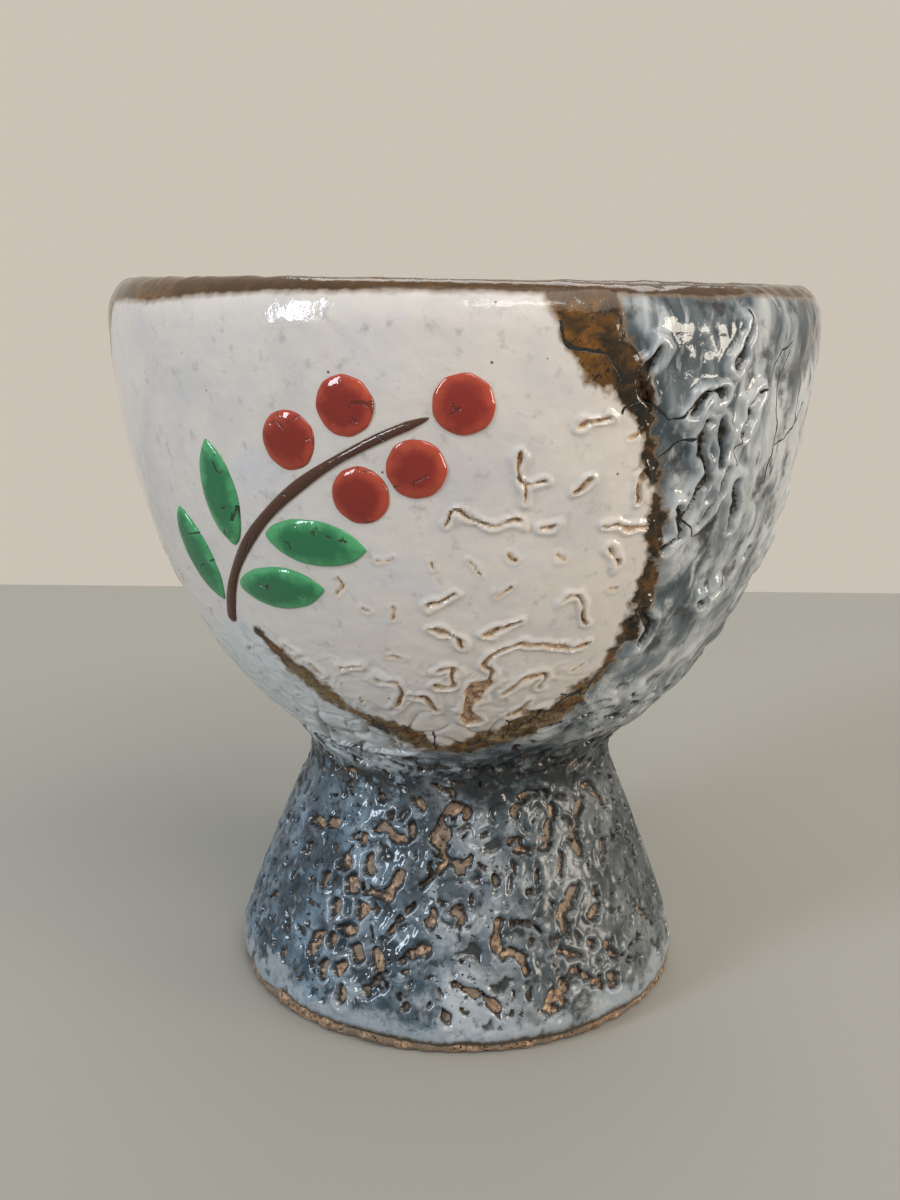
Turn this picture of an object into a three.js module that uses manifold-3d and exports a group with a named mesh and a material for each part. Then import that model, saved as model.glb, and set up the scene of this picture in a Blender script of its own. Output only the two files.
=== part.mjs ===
// Sake cup: a deep bowl on a flared, hollow pedestal foot, thrown in coarse brown stoneware.
// The two clay bodies, the slip that joins them, the glazes and the raised enamels are separate solids.
// Millimetres, +Z up. The cup stands on z = 0, its axis is +Z and its decorated front faces -Y.

import * as THREE from "three";
import { mergeVertices } from "three/addons/utils/BufferGeometryUtils.js";
import Module from "manifold-3d";

const wasm = await Module();
wasm.setup();

// Heights and radii of the glazed outside. The waist's are those of the corner that its rounding cuts off.
const height = 66;
const rimRadius = 32;
const rimWall = 4.4;
const lipDepth = 3.3;
const waistRadius = 13.6;
const waistHeight = 23.3;
const footRadius = 21.8;
const footEdgeHeight = 2;
const standRadius = 21.2;

// Sweep of the outside curves: leans from the vertical in degrees, reaches of the curves' handles
const footLean = 23;
const footRounding = 4;
const footReach = 8.8;
const footEdgeReach = 1.1;
const bowlLean = 50.4;
const bowlRounding = 5;
const bowlReach = 17.9;
const rimReach = 2;

// Hollows
const floorHeight = 28.5;
const insideReach = 22;
const floorReach = 18;
const footRingWidth = 4;
const footHollowHeight = 15.5;
const footHollowReach = 8;
const footHollowCrown = 10;

// Layers, and the clearance that each keeps to what it lies on
const glazeThickness = 0.9;
const liningThickness = 0.6;
const slipThickness = 0.5;
const seatGap = 0.25;
const joinHeight = 21.7;
const bareEdge = 0.9;

// Glaze zones
const rimIronOutside = 1;
const rimIronInside = 5;
const bowlGlazeBase = 25.6;
const backSeamAngle = -165;
const backSeamSway = 7;
const ironLineWidth = 1.2;
const ironPatchWidth = 7.8;
const ironPatchDepth = 7;

// Crawled openings in the glaze, where the bare clay shows
const crawlLength = 3;
const crawlWidth = 1.3;
const footCrawls = 36;
const whiteCrawls = 8;
const greyCrawls = 7;

// Enamel sprig: a stem with paired leaves and a head of berries
const sprigAngle = -46;
const sprigDrop = 27.5;
const stemAcross = 22;
const stemUp = 19;
const stemBendAcross = 7;
const stemBendUp = 13;
const stemWidth = 1.1;
const stemTipWidth = 0.7;
const enamelHeight = 0.35;
const enamelEdge = 0.12;
const leafLength = 8.6;
const leafWidth = 3.8;
const leafSpread = 48;
const leafCount = 4;
const firstLeaf = 2;
const leafPitch = 3.5;
const berryRadius = 2.2;
const berrySpacing = 0.6;
const sideBerryCount = 4;

// Facets round the cup, and the longest step and sharpest turn along its outline
const facets = 36;
const longestStep = 4.4;
const sharpestTurn = 22;

const radians = THREE.MathUtils.degToRad;
const { lerp, clamp, smoothstep } = THREE.MathUtils;
const at = (radius, z) => new THREE.Vector2(radius, z);

// Outline of the cup: up the outside, over the lip and down inside to the middle of the floor

const rimHeight = height - lipDepth;
const footUp = at(-Math.sin(radians(footLean)), Math.cos(radians(footLean)));
const bowlUp = at(Math.sin(radians(bowlLean)), Math.cos(radians(bowlLean)));
const waistCorner = at(waistRadius, waistHeight);
const footTop = waistCorner.clone().addScaledVector(footUp, -footRounding);
const bowlStart = waistCorner.clone().addScaledVector(bowlUp, bowlRounding);
const lipRadius = rimRadius - rimWall / 2;
const insideRadius = rimRadius - rimWall;

const outline = new THREE.CurvePath();
outline.add(new THREE.QuadraticBezierCurve(
  at(standRadius, 0),
  at(footRadius, footEdgeHeight / 2),
  at(footRadius, footEdgeHeight),
));
outline.add(new THREE.CubicBezierCurve(
  at(footRadius, footEdgeHeight),
  at(footRadius, footEdgeHeight + footEdgeReach),
  footTop.clone().addScaledVector(footUp, -footReach),
  footTop,
));
outline.add(new THREE.QuadraticBezierCurve(footTop, waistCorner, bowlStart));
outline.add(new THREE.CubicBezierCurve(
  bowlStart,
  bowlStart.clone().addScaledVector(bowlUp, bowlReach),
  at(rimRadius, rimHeight - rimReach),
  at(rimRadius, rimHeight),
));
const rimStation = outline.getLength();
const lip = new THREE.EllipseCurve(lipRadius, rimHeight, rimWall / 2, lipDepth, 0, Math.PI);
outline.add(lip);
outline.add(new THREE.CubicBezierCurve(
  at(insideRadius, rimHeight),
  at(insideRadius, rimHeight - insideReach),
  at(floorReach, floorHeight),
  at(0, floorHeight),
));
const floorStation = outline.getLength();
const crestStation = rimStation + lip.getLength() / 2;

// A point of the outline at a station, its distance along it, lifted off it to the air side.
function skinPoint(station, lift = 0) {
  const share = clamp(station / floorStation, 0, 1);
  const point = outline.getPoint(share);
  const along = outline.getTangent(share);
  return at(point.x + along.y * lift, point.y - along.x * lift);
}

// The station between two others whose lifted point lies at a height.
function stationAt(z, lift = 0, from = 0, to = crestStation) {
  const rising = skinPoint(to, lift).y > skinPoint(from, lift).y;
  let low = from;
  let high = to;
  for (let step = 0; step < 40; step += 1) {
    const middle = (low + high) / 2;
    if (skinPoint(middle, lift).y < z === rising) low = middle;
    else high = middle;
  }
  return (low + high) / 2;
}

// Stations from one to another, closer together where the outline turns.
function stationsBetween(from, to) {
  const probe = 0.2;
  const stations = [from];
  let last = from;
  for (let station = from + probe; station < to - probe; station += probe) {
    const before = skinPoint(last, 1).sub(skinPoint(last));
    const here = skinPoint(station, 1).sub(skinPoint(station));
    const turn = Math.abs(before.angleTo(here));
    if (turn > radians(sharpestTurn) || station - last > longestStep) {
      stations.push(station);
      last = station;
    }
  }
  return [...stations, to];
}

const alongSkin = (stations, lift) => stations.map((station) => skinPoint(station, lift));
const even = (count) => Array.from({ length: count + 1 }, (_, k) => k / count);

// Solids

function closed(geometry) {
  geometry.deleteAttribute("normal");
  geometry.deleteAttribute("uv");
  return mergeVertices(geometry, 1e-5);
}

// Turns a profile of (radius, height) points round the cup's axis.
function revolve(profile) {
  const geometry = new THREE.LatheGeometry(profile, facets);
  geometry.rotateX(Math.PI / 2);
  return closed(geometry);
}

// A layer of even thickness all the way round, between two stations.
function ringLayer(from, to, thickness) {
  const stations = stationsBetween(from, to);
  const top = alongSkin(stations, 0);
  const under = alongSkin(stations, -thickness).reverse();
  return revolve([...top, ...under, top[0]]);
}

// The place on the cup at an angle from its front, a station and a lift.
function place({ angle, station }, lift) {
  const point = skinPoint(station, lift);
  return [point.x * Math.sin(angle), -point.x * Math.cos(angle), point.y];
}

// A closed sheet lying on the outside: spot(u, v) gives the angle and station of each grid point,
// and the shares list where its columns and rows fall.
function sheet(spot, columnShares, rowShares, low, high, crown = 0) {
  const columns = columnShares.length - 1;
  const rows = rowShares.length - 1;
  const positions = [];
  const indices = [];
  const across = rows + 1;
  const side = (columns + 1) * across;
  for (const upper of [true, false]) {
    for (const u of columnShares) {
      for (const v of rowShares) {
        const bulge = upper ? crown * (1 - (2 * v - 1) ** 2) : 0;
        positions.push(...place(spot(u, v), (upper ? high : low) + bulge));
      }
    }
  }
  const corner = (index) => new THREE.Vector3().fromArray(positions, 3 * index);
  const span = (a, b) => corner(a).distanceTo(corner(b));
  const quad = (a, b, c, d) => {
    if (span(a, c) < span(b, d)) indices.push(a, b, c, a, c, d);
    else indices.push(a, b, d, b, c, d);
  };
  for (let i = 0; i < columns; i += 1) {
    for (let j = 0; j < rows; j += 1) {
      const a = i * across + j;
      quad(a, a + across, a + across + 1, a + 1);
      quad(side + a, side + a + 1, side + a + across + 1, side + a + across);
    }
    const last = i * across + rows;
    quad(i * across, side + i * across, side + (i + 1) * across, (i + 1) * across);
    quad(last, last + across, side + last + across, side + last);
  }
  for (let j = 0; j < rows; j += 1) {
    const end = columns * across + j;
    quad(j, j + 1, side + j + 1, side + j);
    quad(end, side + end, side + end + 1, end + 1);
  }
  return indexed(positions, indices);
}

// A closed pad on the outside from a flat outline in millimetres, centred on a spot and crowned.
function pad(points, spot, turn, low, high, crown = 0) {
  const rings = crown > 0 ? [0.55, 1] : [1];
  const count = points.length;
  const positions = [];
  const indices = [];
  const radius = skinPoint(spot.station).x;
  const put = (x, y, lift) => {
    const right = x * Math.cos(turn) - y * Math.sin(turn);
    const up = x * Math.sin(turn) + y * Math.cos(turn);
    positions.push(...place({ angle: spot.angle + right / radius, station: spot.station + up }, lift));
  };
  for (const upper of [true, false]) {
    put(0, 0, upper ? high + crown : low);
    for (const ring of rings) {
      const lift = upper ? high + crown * (1 - ring ** 2) : low;
      points.forEach(({ x, y }) => put(x * ring, y * ring, lift));
    }
  }
  const side = 1 + rings.length * count;
  for (let k = 0; k < count; k += 1) {
    const next = (k + 1) % count;
    indices.push(0, 1 + k, 1 + next, side, side + 1 + next, side + 1 + k);
    for (let ring = 1; ring < rings.length; ring += 1) {
      const inner = 1 + (ring - 1) * count;
      const outer = inner + count;
      indices.push(inner + k, outer + k, outer + next, inner + k, outer + next, inner + next);
      indices.push(side + inner + k, side + outer + next, side + outer + k);
      indices.push(side + inner + k, side + inner + next, side + outer + next);
    }
    const edge = side - count;
    indices.push(edge + k, side + edge + k, side + edge + next);
    indices.push(edge + k, side + edge + next, edge + next);
  }
  return indexed(positions, indices);
}

function indexed(positions, indices) {
  const geometry = new THREE.BufferGeometry();
  geometry.setAttribute("position", new THREE.Float32BufferAttribute(positions, 3));
  geometry.setIndex(indices);
  return geometry;
}

function toSolid(geometry) {
  return new wasm.Manifold(new wasm.Mesh({
    numProp: 3,
    vertProperties: Float32Array.from(geometry.attributes.position.array),
    triVerts: Uint32Array.from(geometry.index.array),
  }));
}

function fromSolid(solid) {
  const mesh = solid.getMesh();
  return indexed(mesh.vertProperties, [...mesh.triVerts]);
}

const cut = (geometry, tools) => fromSolid(
  tools.reduce((solid, tool) => solid.subtract(toSolid(tool)), toSolid(geometry)),
);

// Clay bodies and the slip between them

const clayDepth = glazeThickness + seatGap;
const liningDepth = liningThickness + seatGap;
const ironInsideStation = stationAt(height - rimIronInside, 0, floorStation, crestStation);

// The thrown bowl, from the join at the waist to the lip and down to the floor inside.
function bowlBody() {
  const bottom = joinHeight + slipThickness / 2 + seatGap;
  const start = stationAt(bottom, -clayDepth);
  const outside = alongSkin(stationsBetween(start, ironInsideStation + seatGap / 2), -clayDepth);
  const insideStations = stationsBetween(ironInsideStation + seatGap, floorStation).slice(0, -1);
  const inside = alongSkin(insideStations, -liningDepth);
  return revolve([at(0, bottom), ...outside, ...inside, at(0, floorHeight - liningDepth)]);
}

// The hollow foot: a flat ring on the table, bare clay below the glaze, and a domed hollow under it.
function footBody() {
  const top = joinHeight - slipThickness / 2 - seatGap;
  const bare = stationAt(bareEdge);
  const ringInside = standRadius - footRingWidth;
  const hollow = new THREE.CubicBezierCurve(
    at(0, footHollowHeight),
    at(footHollowCrown, footHollowHeight),
    at(ringInside, footHollowReach),
    at(ringInside, 0),
  );
  const outside = alongSkin(stationsBetween(bare, stationAt(top, -clayDepth)), -clayDepth);
  return revolve([
    ...hollow.getPoints(8),
    at(standRadius, 0),
    skinPoint(bare),
    ...outside,
    at(0, top),
  ]);
}

// The disc of slip that the bowl and the foot were joined with.
function lutingSlip() {
  const top = joinHeight + slipThickness / 2;
  const bottom = joinHeight - slipThickness / 2;
  const radius = skinPoint(stationAt(joinHeight, -clayDepth), -clayDepth).x;
  return revolve([at(0, bottom), at(radius, bottom), at(radius, top), at(0, top)]);
}

// Glazes that run right round

const footGlazeStart = stationAt(bareEdge) + seatGap;
const bowlGlazeStart = stationAt(bowlGlazeBase);
const ironOutsideStation = stationAt(height - rimIronOutside);

function rimIron() {
  return ringLayer(ironOutsideStation, ironInsideStation, glazeThickness);
}

function liningGlaze() {
  const stations = stationsBetween(ironInsideStation + seatGap, floorStation).slice(0, -1);
  const under = alongSkin(stations, -liningThickness).reverse();
  const top = alongSkin(stations, 0);
  return revolve([at(0, floorHeight - liningThickness), ...under, ...top, at(0, floorHeight)]);
}

// Openings where the glaze crawled back from the clay. Their places follow the golden ratio,
// so that any number of them is spread evenly over the patch between two angles and stations.
function crawls(count, fromAngle, toAngle, fromStation, toStation) {
  const straight = crawlLength - crawlWidth;
  const capsule = new THREE.Path();
  capsule.absarc(straight / 2, 0, crawlWidth / 2, -Math.PI / 2, Math.PI / 2);
  capsule.absarc(-straight / 2, 0, crawlWidth / 2, Math.PI / 2, 1.5 * Math.PI);
  const points = capsule.getSpacedPoints(6).slice(0, -1);
  const goldenRatio = 0.618034;
  const turnStep = 1.2;
  return Array.from({ length: count }, (_, k) => {
    const spot = {
      angle: radians(lerp(fromAngle, toAngle, (k * goldenRatio) % 1)),
      station: lerp(fromStation, toStation, (k + 0.5) / count),
    };
    return pad(points, spot, k * turnStep, -2 * glazeThickness, glazeThickness);
  });
}

function footGlaze() {
  const shell = ringLayer(footGlazeStart, bowlGlazeStart, glazeThickness);
  const margin = crawlLength;
  const openings = crawls(footCrawls, -180, 180, footGlazeStart + margin, stationAt(joinHeight) - margin);
  return cut(shell, openings);
}

// Iron line: it runs along the bowl's underside, up the right of the white glaze, and widens into
// a patch under the lip. Its points give an angle and a share of the way up the bowl glaze.

const fieldTop = ironOutsideStation - seatGap;
const fieldBase = bowlGlazeStart + seatGap;
const fieldHeight = fieldTop - fieldBase;
const lineFoot = ironLineWidth / 2 / fieldHeight;
const ironLine = new THREE.SplineCurve([
  [-42, lineFoot],
  [-14, lineFoot],
  [0, 0.045],
  [12.5, 0.085],
  [25.5, 0.17],
  [29.3, 0.33],
  [28, 0.58],
  [22, 0.83],
  [16, 1],
].map(([angle, share]) => at(radians(angle), fieldBase + share * fieldHeight)));

// How far a station lies into the patch under the lip, from 0 to 1.
const intoPatch = (station) => smoothstep(station, fieldTop - ironPatchDepth, fieldTop);

function ironHalfWidth(share) {
  return lerp(ironLineWidth, ironPatchWidth, intoPatch(ironLine.getPoint(share).y) ** 2) / 2;
}

// The spot at a share of the iron line, moved towards its white side; in the patch that is level.
function besideIron(share, offset) {
  const point = ironLine.getPoint(share);
  const along = ironLine.getTangent(share);
  const radius = skinPoint(point.y).x;
  const square = at(-along.y, along.x * radius).normalize();
  const sideways = square.lerp(at(-1, 0), Math.min(1, 2 * intoPatch(point.y))).normalize();
  return { angle: point.x + (sideways.x * offset) / radius, station: point.y + sideways.y * offset };
}

function ironLineLayer() {
  const spot = (u, v) => {
    const half = ironHalfWidth(u);
    return besideIron(u, lerp(-half, half, v));
  };
  return sheet(spot, even(32), even(1), -glazeThickness, 0);
}

// One side of the iron line with its clearance: +1 for the white side, -1 for the grey side.
function lineSide(side) {
  return even(80).map((share) => besideIron(share, side * (ironHalfWidth(share) + seatGap)));
}

// Reads one coordinate of a row of spots from the other, searching from its end at the lip.
function read(spots, from, to, value) {
  for (let k = spots.length - 1; k > 0; k -= 1) {
    const high = spots[k];
    const low = spots[k - 1];
    if (value <= high[from] && value >= low[from]) {
      const share = (value - low[from]) / (high[from] - low[from] || 1);
      return lerp(low[to], high[to], share);
    }
  }
  const first = spots[0];
  return value < first[from] ? first[to] : spots.at(-1)[to];
}

// Spots of a glaze field whose edges are functions of angle or station.
function fieldSpot({ left, right, bottom }) {
  return (u, v) => {
    let station = lerp(fieldBase, fieldTop, v);
    let angle = 0;
    for (let pass = 0; pass < 12; pass += 1) {
      angle = lerp(left(station), right(station), u);
      station = lerp(bottom(angle), fieldTop, v);
    }
    return { angle, station };
  };
}

// Rows of the fields, which close up at the lip; the grey field's also close up at its foot,
// where its edge follows the low end of the iron line.
const shareUp = (station) => (station - fieldBase) / fieldHeight;
const whiteRows = stationsBetween(fieldBase, fieldTop).map(shareUp);
const greyRows = [0, 0.008, 0.02, 0.04, 0.065, 0.1, 0.14, ...whiteRows.filter((share) => share > 0.16)];

// The seam at the back, where the white and the grey field meet again.
function backSeam(station) {
  return radians(backSeamAngle + backSeamSway * Math.sin(Math.PI * shareUp(station)));
}

// The white field: its corner parts the bottom edge, read by angle, from the side edge, read by station.
function whiteGlaze() {
  const side = lineSide(1);
  const corner = radians(25);
  const cornerIndex = side.findIndex(({ angle }) => angle > corner);
  const bottomEdge = side.slice(0, cornerIndex + 1);
  const sideEdge = side.slice(cornerIndex);
  const { angle: cornerAngle, station: cornerStation } = side[cornerIndex];
  const lineEnd = side[0];
  const spot = fieldSpot({
    left: backSeam,
    right: (station) => {
      if (station <= cornerStation) return cornerAngle;
      return read(sideEdge, "station", "angle", station);
    },
    bottom: (angle) => {
      if (angle >= cornerAngle) return cornerStation;
      if (angle > lineEnd.angle) return read(bottomEdge, "angle", "station", angle);
      const clear = smoothstep(angle, lineEnd.angle - radians(15), lineEnd.angle);
      return lerp(fieldBase, lineEnd.station, clear);
    },
  });
  const shell = sheet(spot, even(24), whiteRows, -glazeThickness, 0);
  const low = stationAt(lerp(bowlGlazeBase, height, 0.14));
  const high = stationAt(lerp(bowlGlazeBase, height, 0.5));
  return cut(shell, crawls(whiteCrawls, -12, 22, low, high));
}

function greyGlaze() {
  const side = lineSide(-1);
  const spot = fieldSpot({
    left: (station) => read(side, "station", "angle", station),
    right: (station) => 2 * Math.PI + backSeam(station) - seatGap / skinPoint(station).x,
    bottom: () => fieldBase,
  });
  const shell = sheet(spot, even(20), greyRows, -glazeThickness, 0);
  const low = stationAt(lerp(bowlGlazeBase, height, 0.25));
  const high = stationAt(lerp(bowlGlazeBase, height, 0.85));
  return cut(shell, crawls(greyCrawls, 41, 68, low, high));
}

// Enamel sprig on the white glaze, hung from the rim. Its stem is drawn flat, in millimetres from its foot.

const stemCurve = new THREE.QuadraticBezierCurve(
  at(0, 0),
  at(stemBendAcross, stemBendUp),
  at(stemAcross, stemUp),
);
const stemLength = stemCurve.getLength();
const sprigRadius = skinPoint(fieldTop - sprigDrop + stemBendUp).x;
const berryPitch = 2 * berryRadius + berrySpacing;

// The spot on the cup and the direction beside the stem, at a distance along it and to its left.
function besideStem(along, left) {
  const share = along / stemLength;
  const point = stemCurve.getPointAt(share);
  const tangent = stemCurve.getTangentAt(share);
  const spot = {
    angle: radians(sprigAngle) + (point.x - tangent.y * left) / sprigRadius,
    station: fieldTop - sprigDrop + point.y + tangent.x * left,
  };
  return { spot, direction: Math.atan2(tangent.y, tangent.x) };
}

const movedBy = ({ angle, station }, distance, direction) => ({
  angle: angle + (distance * Math.cos(direction)) / skinPoint(station).x,
  station: station + distance * Math.sin(direction),
});

function enamelPad(shape, spot, turn) {
  const points = shape.getPoints(6).slice(0, -1);
  return pad(points, spot, turn, seatGap, seatGap + enamelEdge, enamelHeight - enamelEdge);
}

function stem() {
  const spot = (u, v) => {
    const half = lerp(stemWidth, stemTipWidth, u) / 2;
    return besideStem(u * stemLength, lerp(-half, half, v)).spot;
  };
  return sheet(spot, even(14), even(2), seatGap, seatGap + enamelEdge, enamelHeight - enamelEdge);
}

// A pointed leaf whose root stands clear of the stem, on its left (+1) or right (-1).
function leaf(along, side) {
  const shape = new THREE.Path();
  shape.moveTo(leafLength / 2, 0);
  shape.quadraticCurveTo(0, leafWidth, -leafLength / 2, 0);
  shape.quadraticCurveTo(0, -leafWidth, leafLength / 2, 0);
  const { spot, direction } = besideStem(along, side * (stemWidth / 2 + seatGap));
  const turn = direction + side * radians(leafSpread);
  return enamelPad(shape, movedBy(spot, leafLength / 2, turn), turn);
}

// A round berry on the stem's left (+1) or right (-1), or past its tip where the side is 0.
function berry(along, side) {
  const shape = new THREE.Path();
  shape.absarc(0, 0, berryRadius, 0, 2 * Math.PI);
  const { spot, direction } = besideStem(along, (side * (stemWidth + berryPitch)) / 2);
  const centre = side === 0 ? movedBy(spot, berryPitch / 2, direction) : spot;
  return enamelPad(shape, centre, 0);
}

// Assembly

const cup = new THREE.Group();

function add(name, geometry, color, roughness) {
  const material = new THREE.MeshStandardMaterial({ color, roughness, metalness: 0 });
  const mesh = new THREE.Mesh(geometry, material);
  mesh.name = name;
  cup.add(mesh);
}

const clayBrown = 0x9c7352;
const ironBrown = 0x6b4a2a;
const milkWhite = 0xd8d2cb;
const slateBlue = 0x6d7880;
const leafGreen = 0x1f7f56;
const berryRed = 0xa8301c;

add("bowl_body", bowlBody(), clayBrown, 0.85);
add("foot_body", footBody(), clayBrown, 0.85);
add("luting_slip", lutingSlip(), clayBrown, 0.9);
add("lining_glaze", liningGlaze(), milkWhite, 0.2);
add("rim_iron", rimIron(), ironBrown, 0.25);
add("foot_glaze", footGlaze(), slateBlue, 0.15);
add("white_glaze", whiteGlaze(), milkWhite, 0.15);
add("grey_glaze", greyGlaze(), slateBlue, 0.15);
add("iron_line", ironLineLayer(), ironBrown, 0.25);
add("sprig_stem", stem(), ironBrown, 0.3);

for (let k = 0; k < leafCount; k += 1) {
  const side = k % 2 === 0 ? 1 : -1;
  add(`leaf_${k + 1}`, leaf(firstLeaf + k * leafPitch, side), leafGreen, 0.15);
}

add("berry_1", berry(stemLength, 0), berryRed, 0.2);
for (let k = 1; k <= sideBerryCount; k += 1) {
  const side = k % 2 === 0 ? 1 : -1;
  add(`berry_${k + 1}`, berry(stemLength - (k * berryPitch) / 2, side), berryRed, 0.2);
}

export default cup;
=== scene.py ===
import math
from collections import namedtuple

import bpy
import numpy as np
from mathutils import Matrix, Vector, noise

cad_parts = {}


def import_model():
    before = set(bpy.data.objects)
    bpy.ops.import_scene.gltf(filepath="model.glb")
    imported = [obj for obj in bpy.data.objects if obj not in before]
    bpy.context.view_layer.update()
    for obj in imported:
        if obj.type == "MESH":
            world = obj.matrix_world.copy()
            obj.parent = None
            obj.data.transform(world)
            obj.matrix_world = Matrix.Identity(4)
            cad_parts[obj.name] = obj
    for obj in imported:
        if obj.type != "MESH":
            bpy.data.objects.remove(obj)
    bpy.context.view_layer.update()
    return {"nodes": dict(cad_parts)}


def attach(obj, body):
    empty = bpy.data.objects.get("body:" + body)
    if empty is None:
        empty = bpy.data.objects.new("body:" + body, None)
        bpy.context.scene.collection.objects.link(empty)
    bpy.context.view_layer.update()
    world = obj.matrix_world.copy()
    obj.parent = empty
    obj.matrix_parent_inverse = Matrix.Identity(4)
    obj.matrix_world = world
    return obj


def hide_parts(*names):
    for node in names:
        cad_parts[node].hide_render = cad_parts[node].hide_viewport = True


# Sake cup: crawled and crackled glazes, iron brushwork and raised enamels on a stoneware body.
# Metres, +Z up. The cup stands on z = 0, its axis is +Z and its decorated front faces -Y.

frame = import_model()
bpy.ops.object.select_all(action="DESELECT")

MM = 0.001

# Heights and radii of the glazed outside, the same as the model's
HEIGHT = 66 * MM
RIM_RADIUS = 32 * MM
RIM_WALL = 4.4 * MM
LIP_DEPTH = 3.3 * MM
WAIST_RADIUS = 13.6 * MM
WAIST_HEIGHT = 23.3 * MM
FOOT_RADIUS = 21.8 * MM
FOOT_EDGE_HEIGHT = 2 * MM
STAND_RADIUS = 21.2 * MM

# Leans of the outside curves in degrees, and reaches of their handles
FOOT_LEAN = 23
FOOT_ROUNDING = 4 * MM
FOOT_REACH = 8.8 * MM
FOOT_EDGE_REACH = 1.1 * MM
BOWL_LEAN = 50.4
BOWL_ROUNDING = 5 * MM
BOWL_REACH = 17.9 * MM
RIM_REACH = 2 * MM

# Hollows
FLOOR_HEIGHT = 28.5 * MM
INSIDE_REACH = 22 * MM
FLOOR_REACH = 18 * MM
FOOT_RING_WIDTH = 4 * MM
FOOT_HOLLOW_HEIGHT = 15.5 * MM
FOOT_HOLLOW_REACH = 8 * MM
FOOT_HOLLOW_CROWN = 10 * MM

# Layers and zones
GLAZE_THICKNESS = 0.9 * MM
LINING_THICKNESS = 0.6 * MM
CLAY_DEPTH = 1.15 * MM
JOIN_HEIGHT = 21.7 * MM
BARE_EDGE = 1.15 * MM
RIM_IRON_TOP_ZONE = 0.6 * MM
RIM_IRON_INSIDE = 5 * MM
BOWL_GLAZE_BASE = 25.6 * MM
BACK_SEAM_ANGLE = -165
BACK_SEAM_SWAY = 7
IRON_LINE_WIDTH = 1.2 * MM
IRON_PATCH_WIDTH = 7.8 * MM
IRON_PATCH_DEPTH = 7 * MM

# Hand-made unevenness: how far the walls sway from round and the rim from level, and the sway's twist
WALL_SWAY = 0.22 * MM
RIM_SWAY = 0.18 * MM
SWAY_TWIST = 9 * MM

# Distance given to a spot far from any gap or zone, and lengths and shares too small to show
FAR = 9 * MM
SAME_SPOT = MM / 1e5
SLIGHT = 1e-9
FAINT = 1e-12


def bezier(*handles, count=160):
    """Points of the Bezier curve with these handles."""
    share = np.linspace(0, 1, count)[:, None]
    points = [np.array(handle, float) for handle in handles]
    while len(points) > 1:
        points = [a + (b - a) * share for a, b in zip(points, points[1:])]
    return points[0]


def smooth(value, start, end):
    """A soft step from 0 at start to 1 at end."""
    share = np.clip((value - start) / (end - start), 0, 1)
    return share * share * (3 - 2 * share)


def wrapped(angle):
    """The same angle, between half a turn to the left and half a turn to the right."""
    return (angle + math.pi) % (2 * math.pi) - math.pi


def unit(rows):
    """Each row as a direction of length 1."""
    return rows / np.linalg.norm(rows, axis=1)[:, None]


def steps(points):
    """The lengths of the steps from point to point."""
    return np.hypot(*np.diff(points, axis=0).T)


def distances(points):
    """How far along the line through the points each of them lies."""
    return np.append(0, np.cumsum(steps(points)))


def around(angle, radius, height):
    """Places round the cup's axis. Angle 0 is the front, + is to +X."""
    return np.column_stack([radius * np.sin(angle), -radius * np.cos(angle), height])


# Outline of the cup as (radius, height): up the outside, over the lip and down to the floor inside
foot_up = np.array([-math.sin(math.radians(FOOT_LEAN)), math.cos(math.radians(FOOT_LEAN))])
bowl_up = np.array([math.sin(math.radians(BOWL_LEAN)), math.cos(math.radians(BOWL_LEAN))])
waist_corner = np.array([WAIST_RADIUS, WAIST_HEIGHT])
foot_top = waist_corner - FOOT_ROUNDING * foot_up
bowl_start = waist_corner + BOWL_ROUNDING * bowl_up
rim_height = HEIGHT - LIP_DEPTH
lip_radius = RIM_RADIUS - RIM_WALL / 2
inside_radius = RIM_RADIUS - RIM_WALL
lip_turn = np.linspace(0, math.pi, 60)

outside = np.vstack([
    bezier((STAND_RADIUS, 0), (FOOT_RADIUS, FOOT_EDGE_HEIGHT / 2), (FOOT_RADIUS, FOOT_EDGE_HEIGHT)),
    bezier(
        (FOOT_RADIUS, FOOT_EDGE_HEIGHT),
        (FOOT_RADIUS, FOOT_EDGE_HEIGHT + FOOT_EDGE_REACH),
        foot_top - FOOT_REACH * foot_up,
        foot_top,
    ),
    bezier(foot_top, waist_corner, bowl_start),
    bezier(
        bowl_start,
        bowl_start + BOWL_REACH * bowl_up,
        (RIM_RADIUS, rim_height - RIM_REACH),
        (RIM_RADIUS, rim_height),
    ),
])
lip = np.column_stack([
    lip_radius + RIM_WALL / 2 * np.cos(lip_turn),
    rim_height + LIP_DEPTH * np.sin(lip_turn),
])
inside = bezier(
    (inside_radius, rim_height),
    (inside_radius, rim_height - INSIDE_REACH),
    (FLOOR_REACH, FLOOR_HEIGHT),
    (0, FLOOR_HEIGHT),
)
outline = np.vstack([outside, lip, inside])
outline = outline[np.append(True, steps(outline) > SAME_SPOT)]
outline_station = distances(outline)
outline_along = unit(np.gradient(outline, outline_station, axis=0))
crest = int(outline[:, 1].argmax())
floor_station = outline_station[-1]


def radius_at(station):
    return np.interp(station, outline_station, outline[:, 0])


def height_at(station):
    return np.interp(station, outline_station, outline[:, 1])


def station_at(height):
    """The distance along the outside, from the foot's edge, of a height."""
    return np.interp(height, outline[:crest + 1, 1], outline_station[:crest + 1])


def station_inside(height):
    """The distance along the outline of a height inside the cup."""
    return np.interp(-height, -outline[crest:, 1], outline_station[crest:])


def off_outline(station, lift):
    """The radius and height of spots lifted off the outline to the air side."""
    outward, upward = (np.interp(station, outline_station, outline_along[:, k]) for k in range(2))
    return radius_at(station) + lift * upward, height_at(station) - lift * outward


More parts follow.
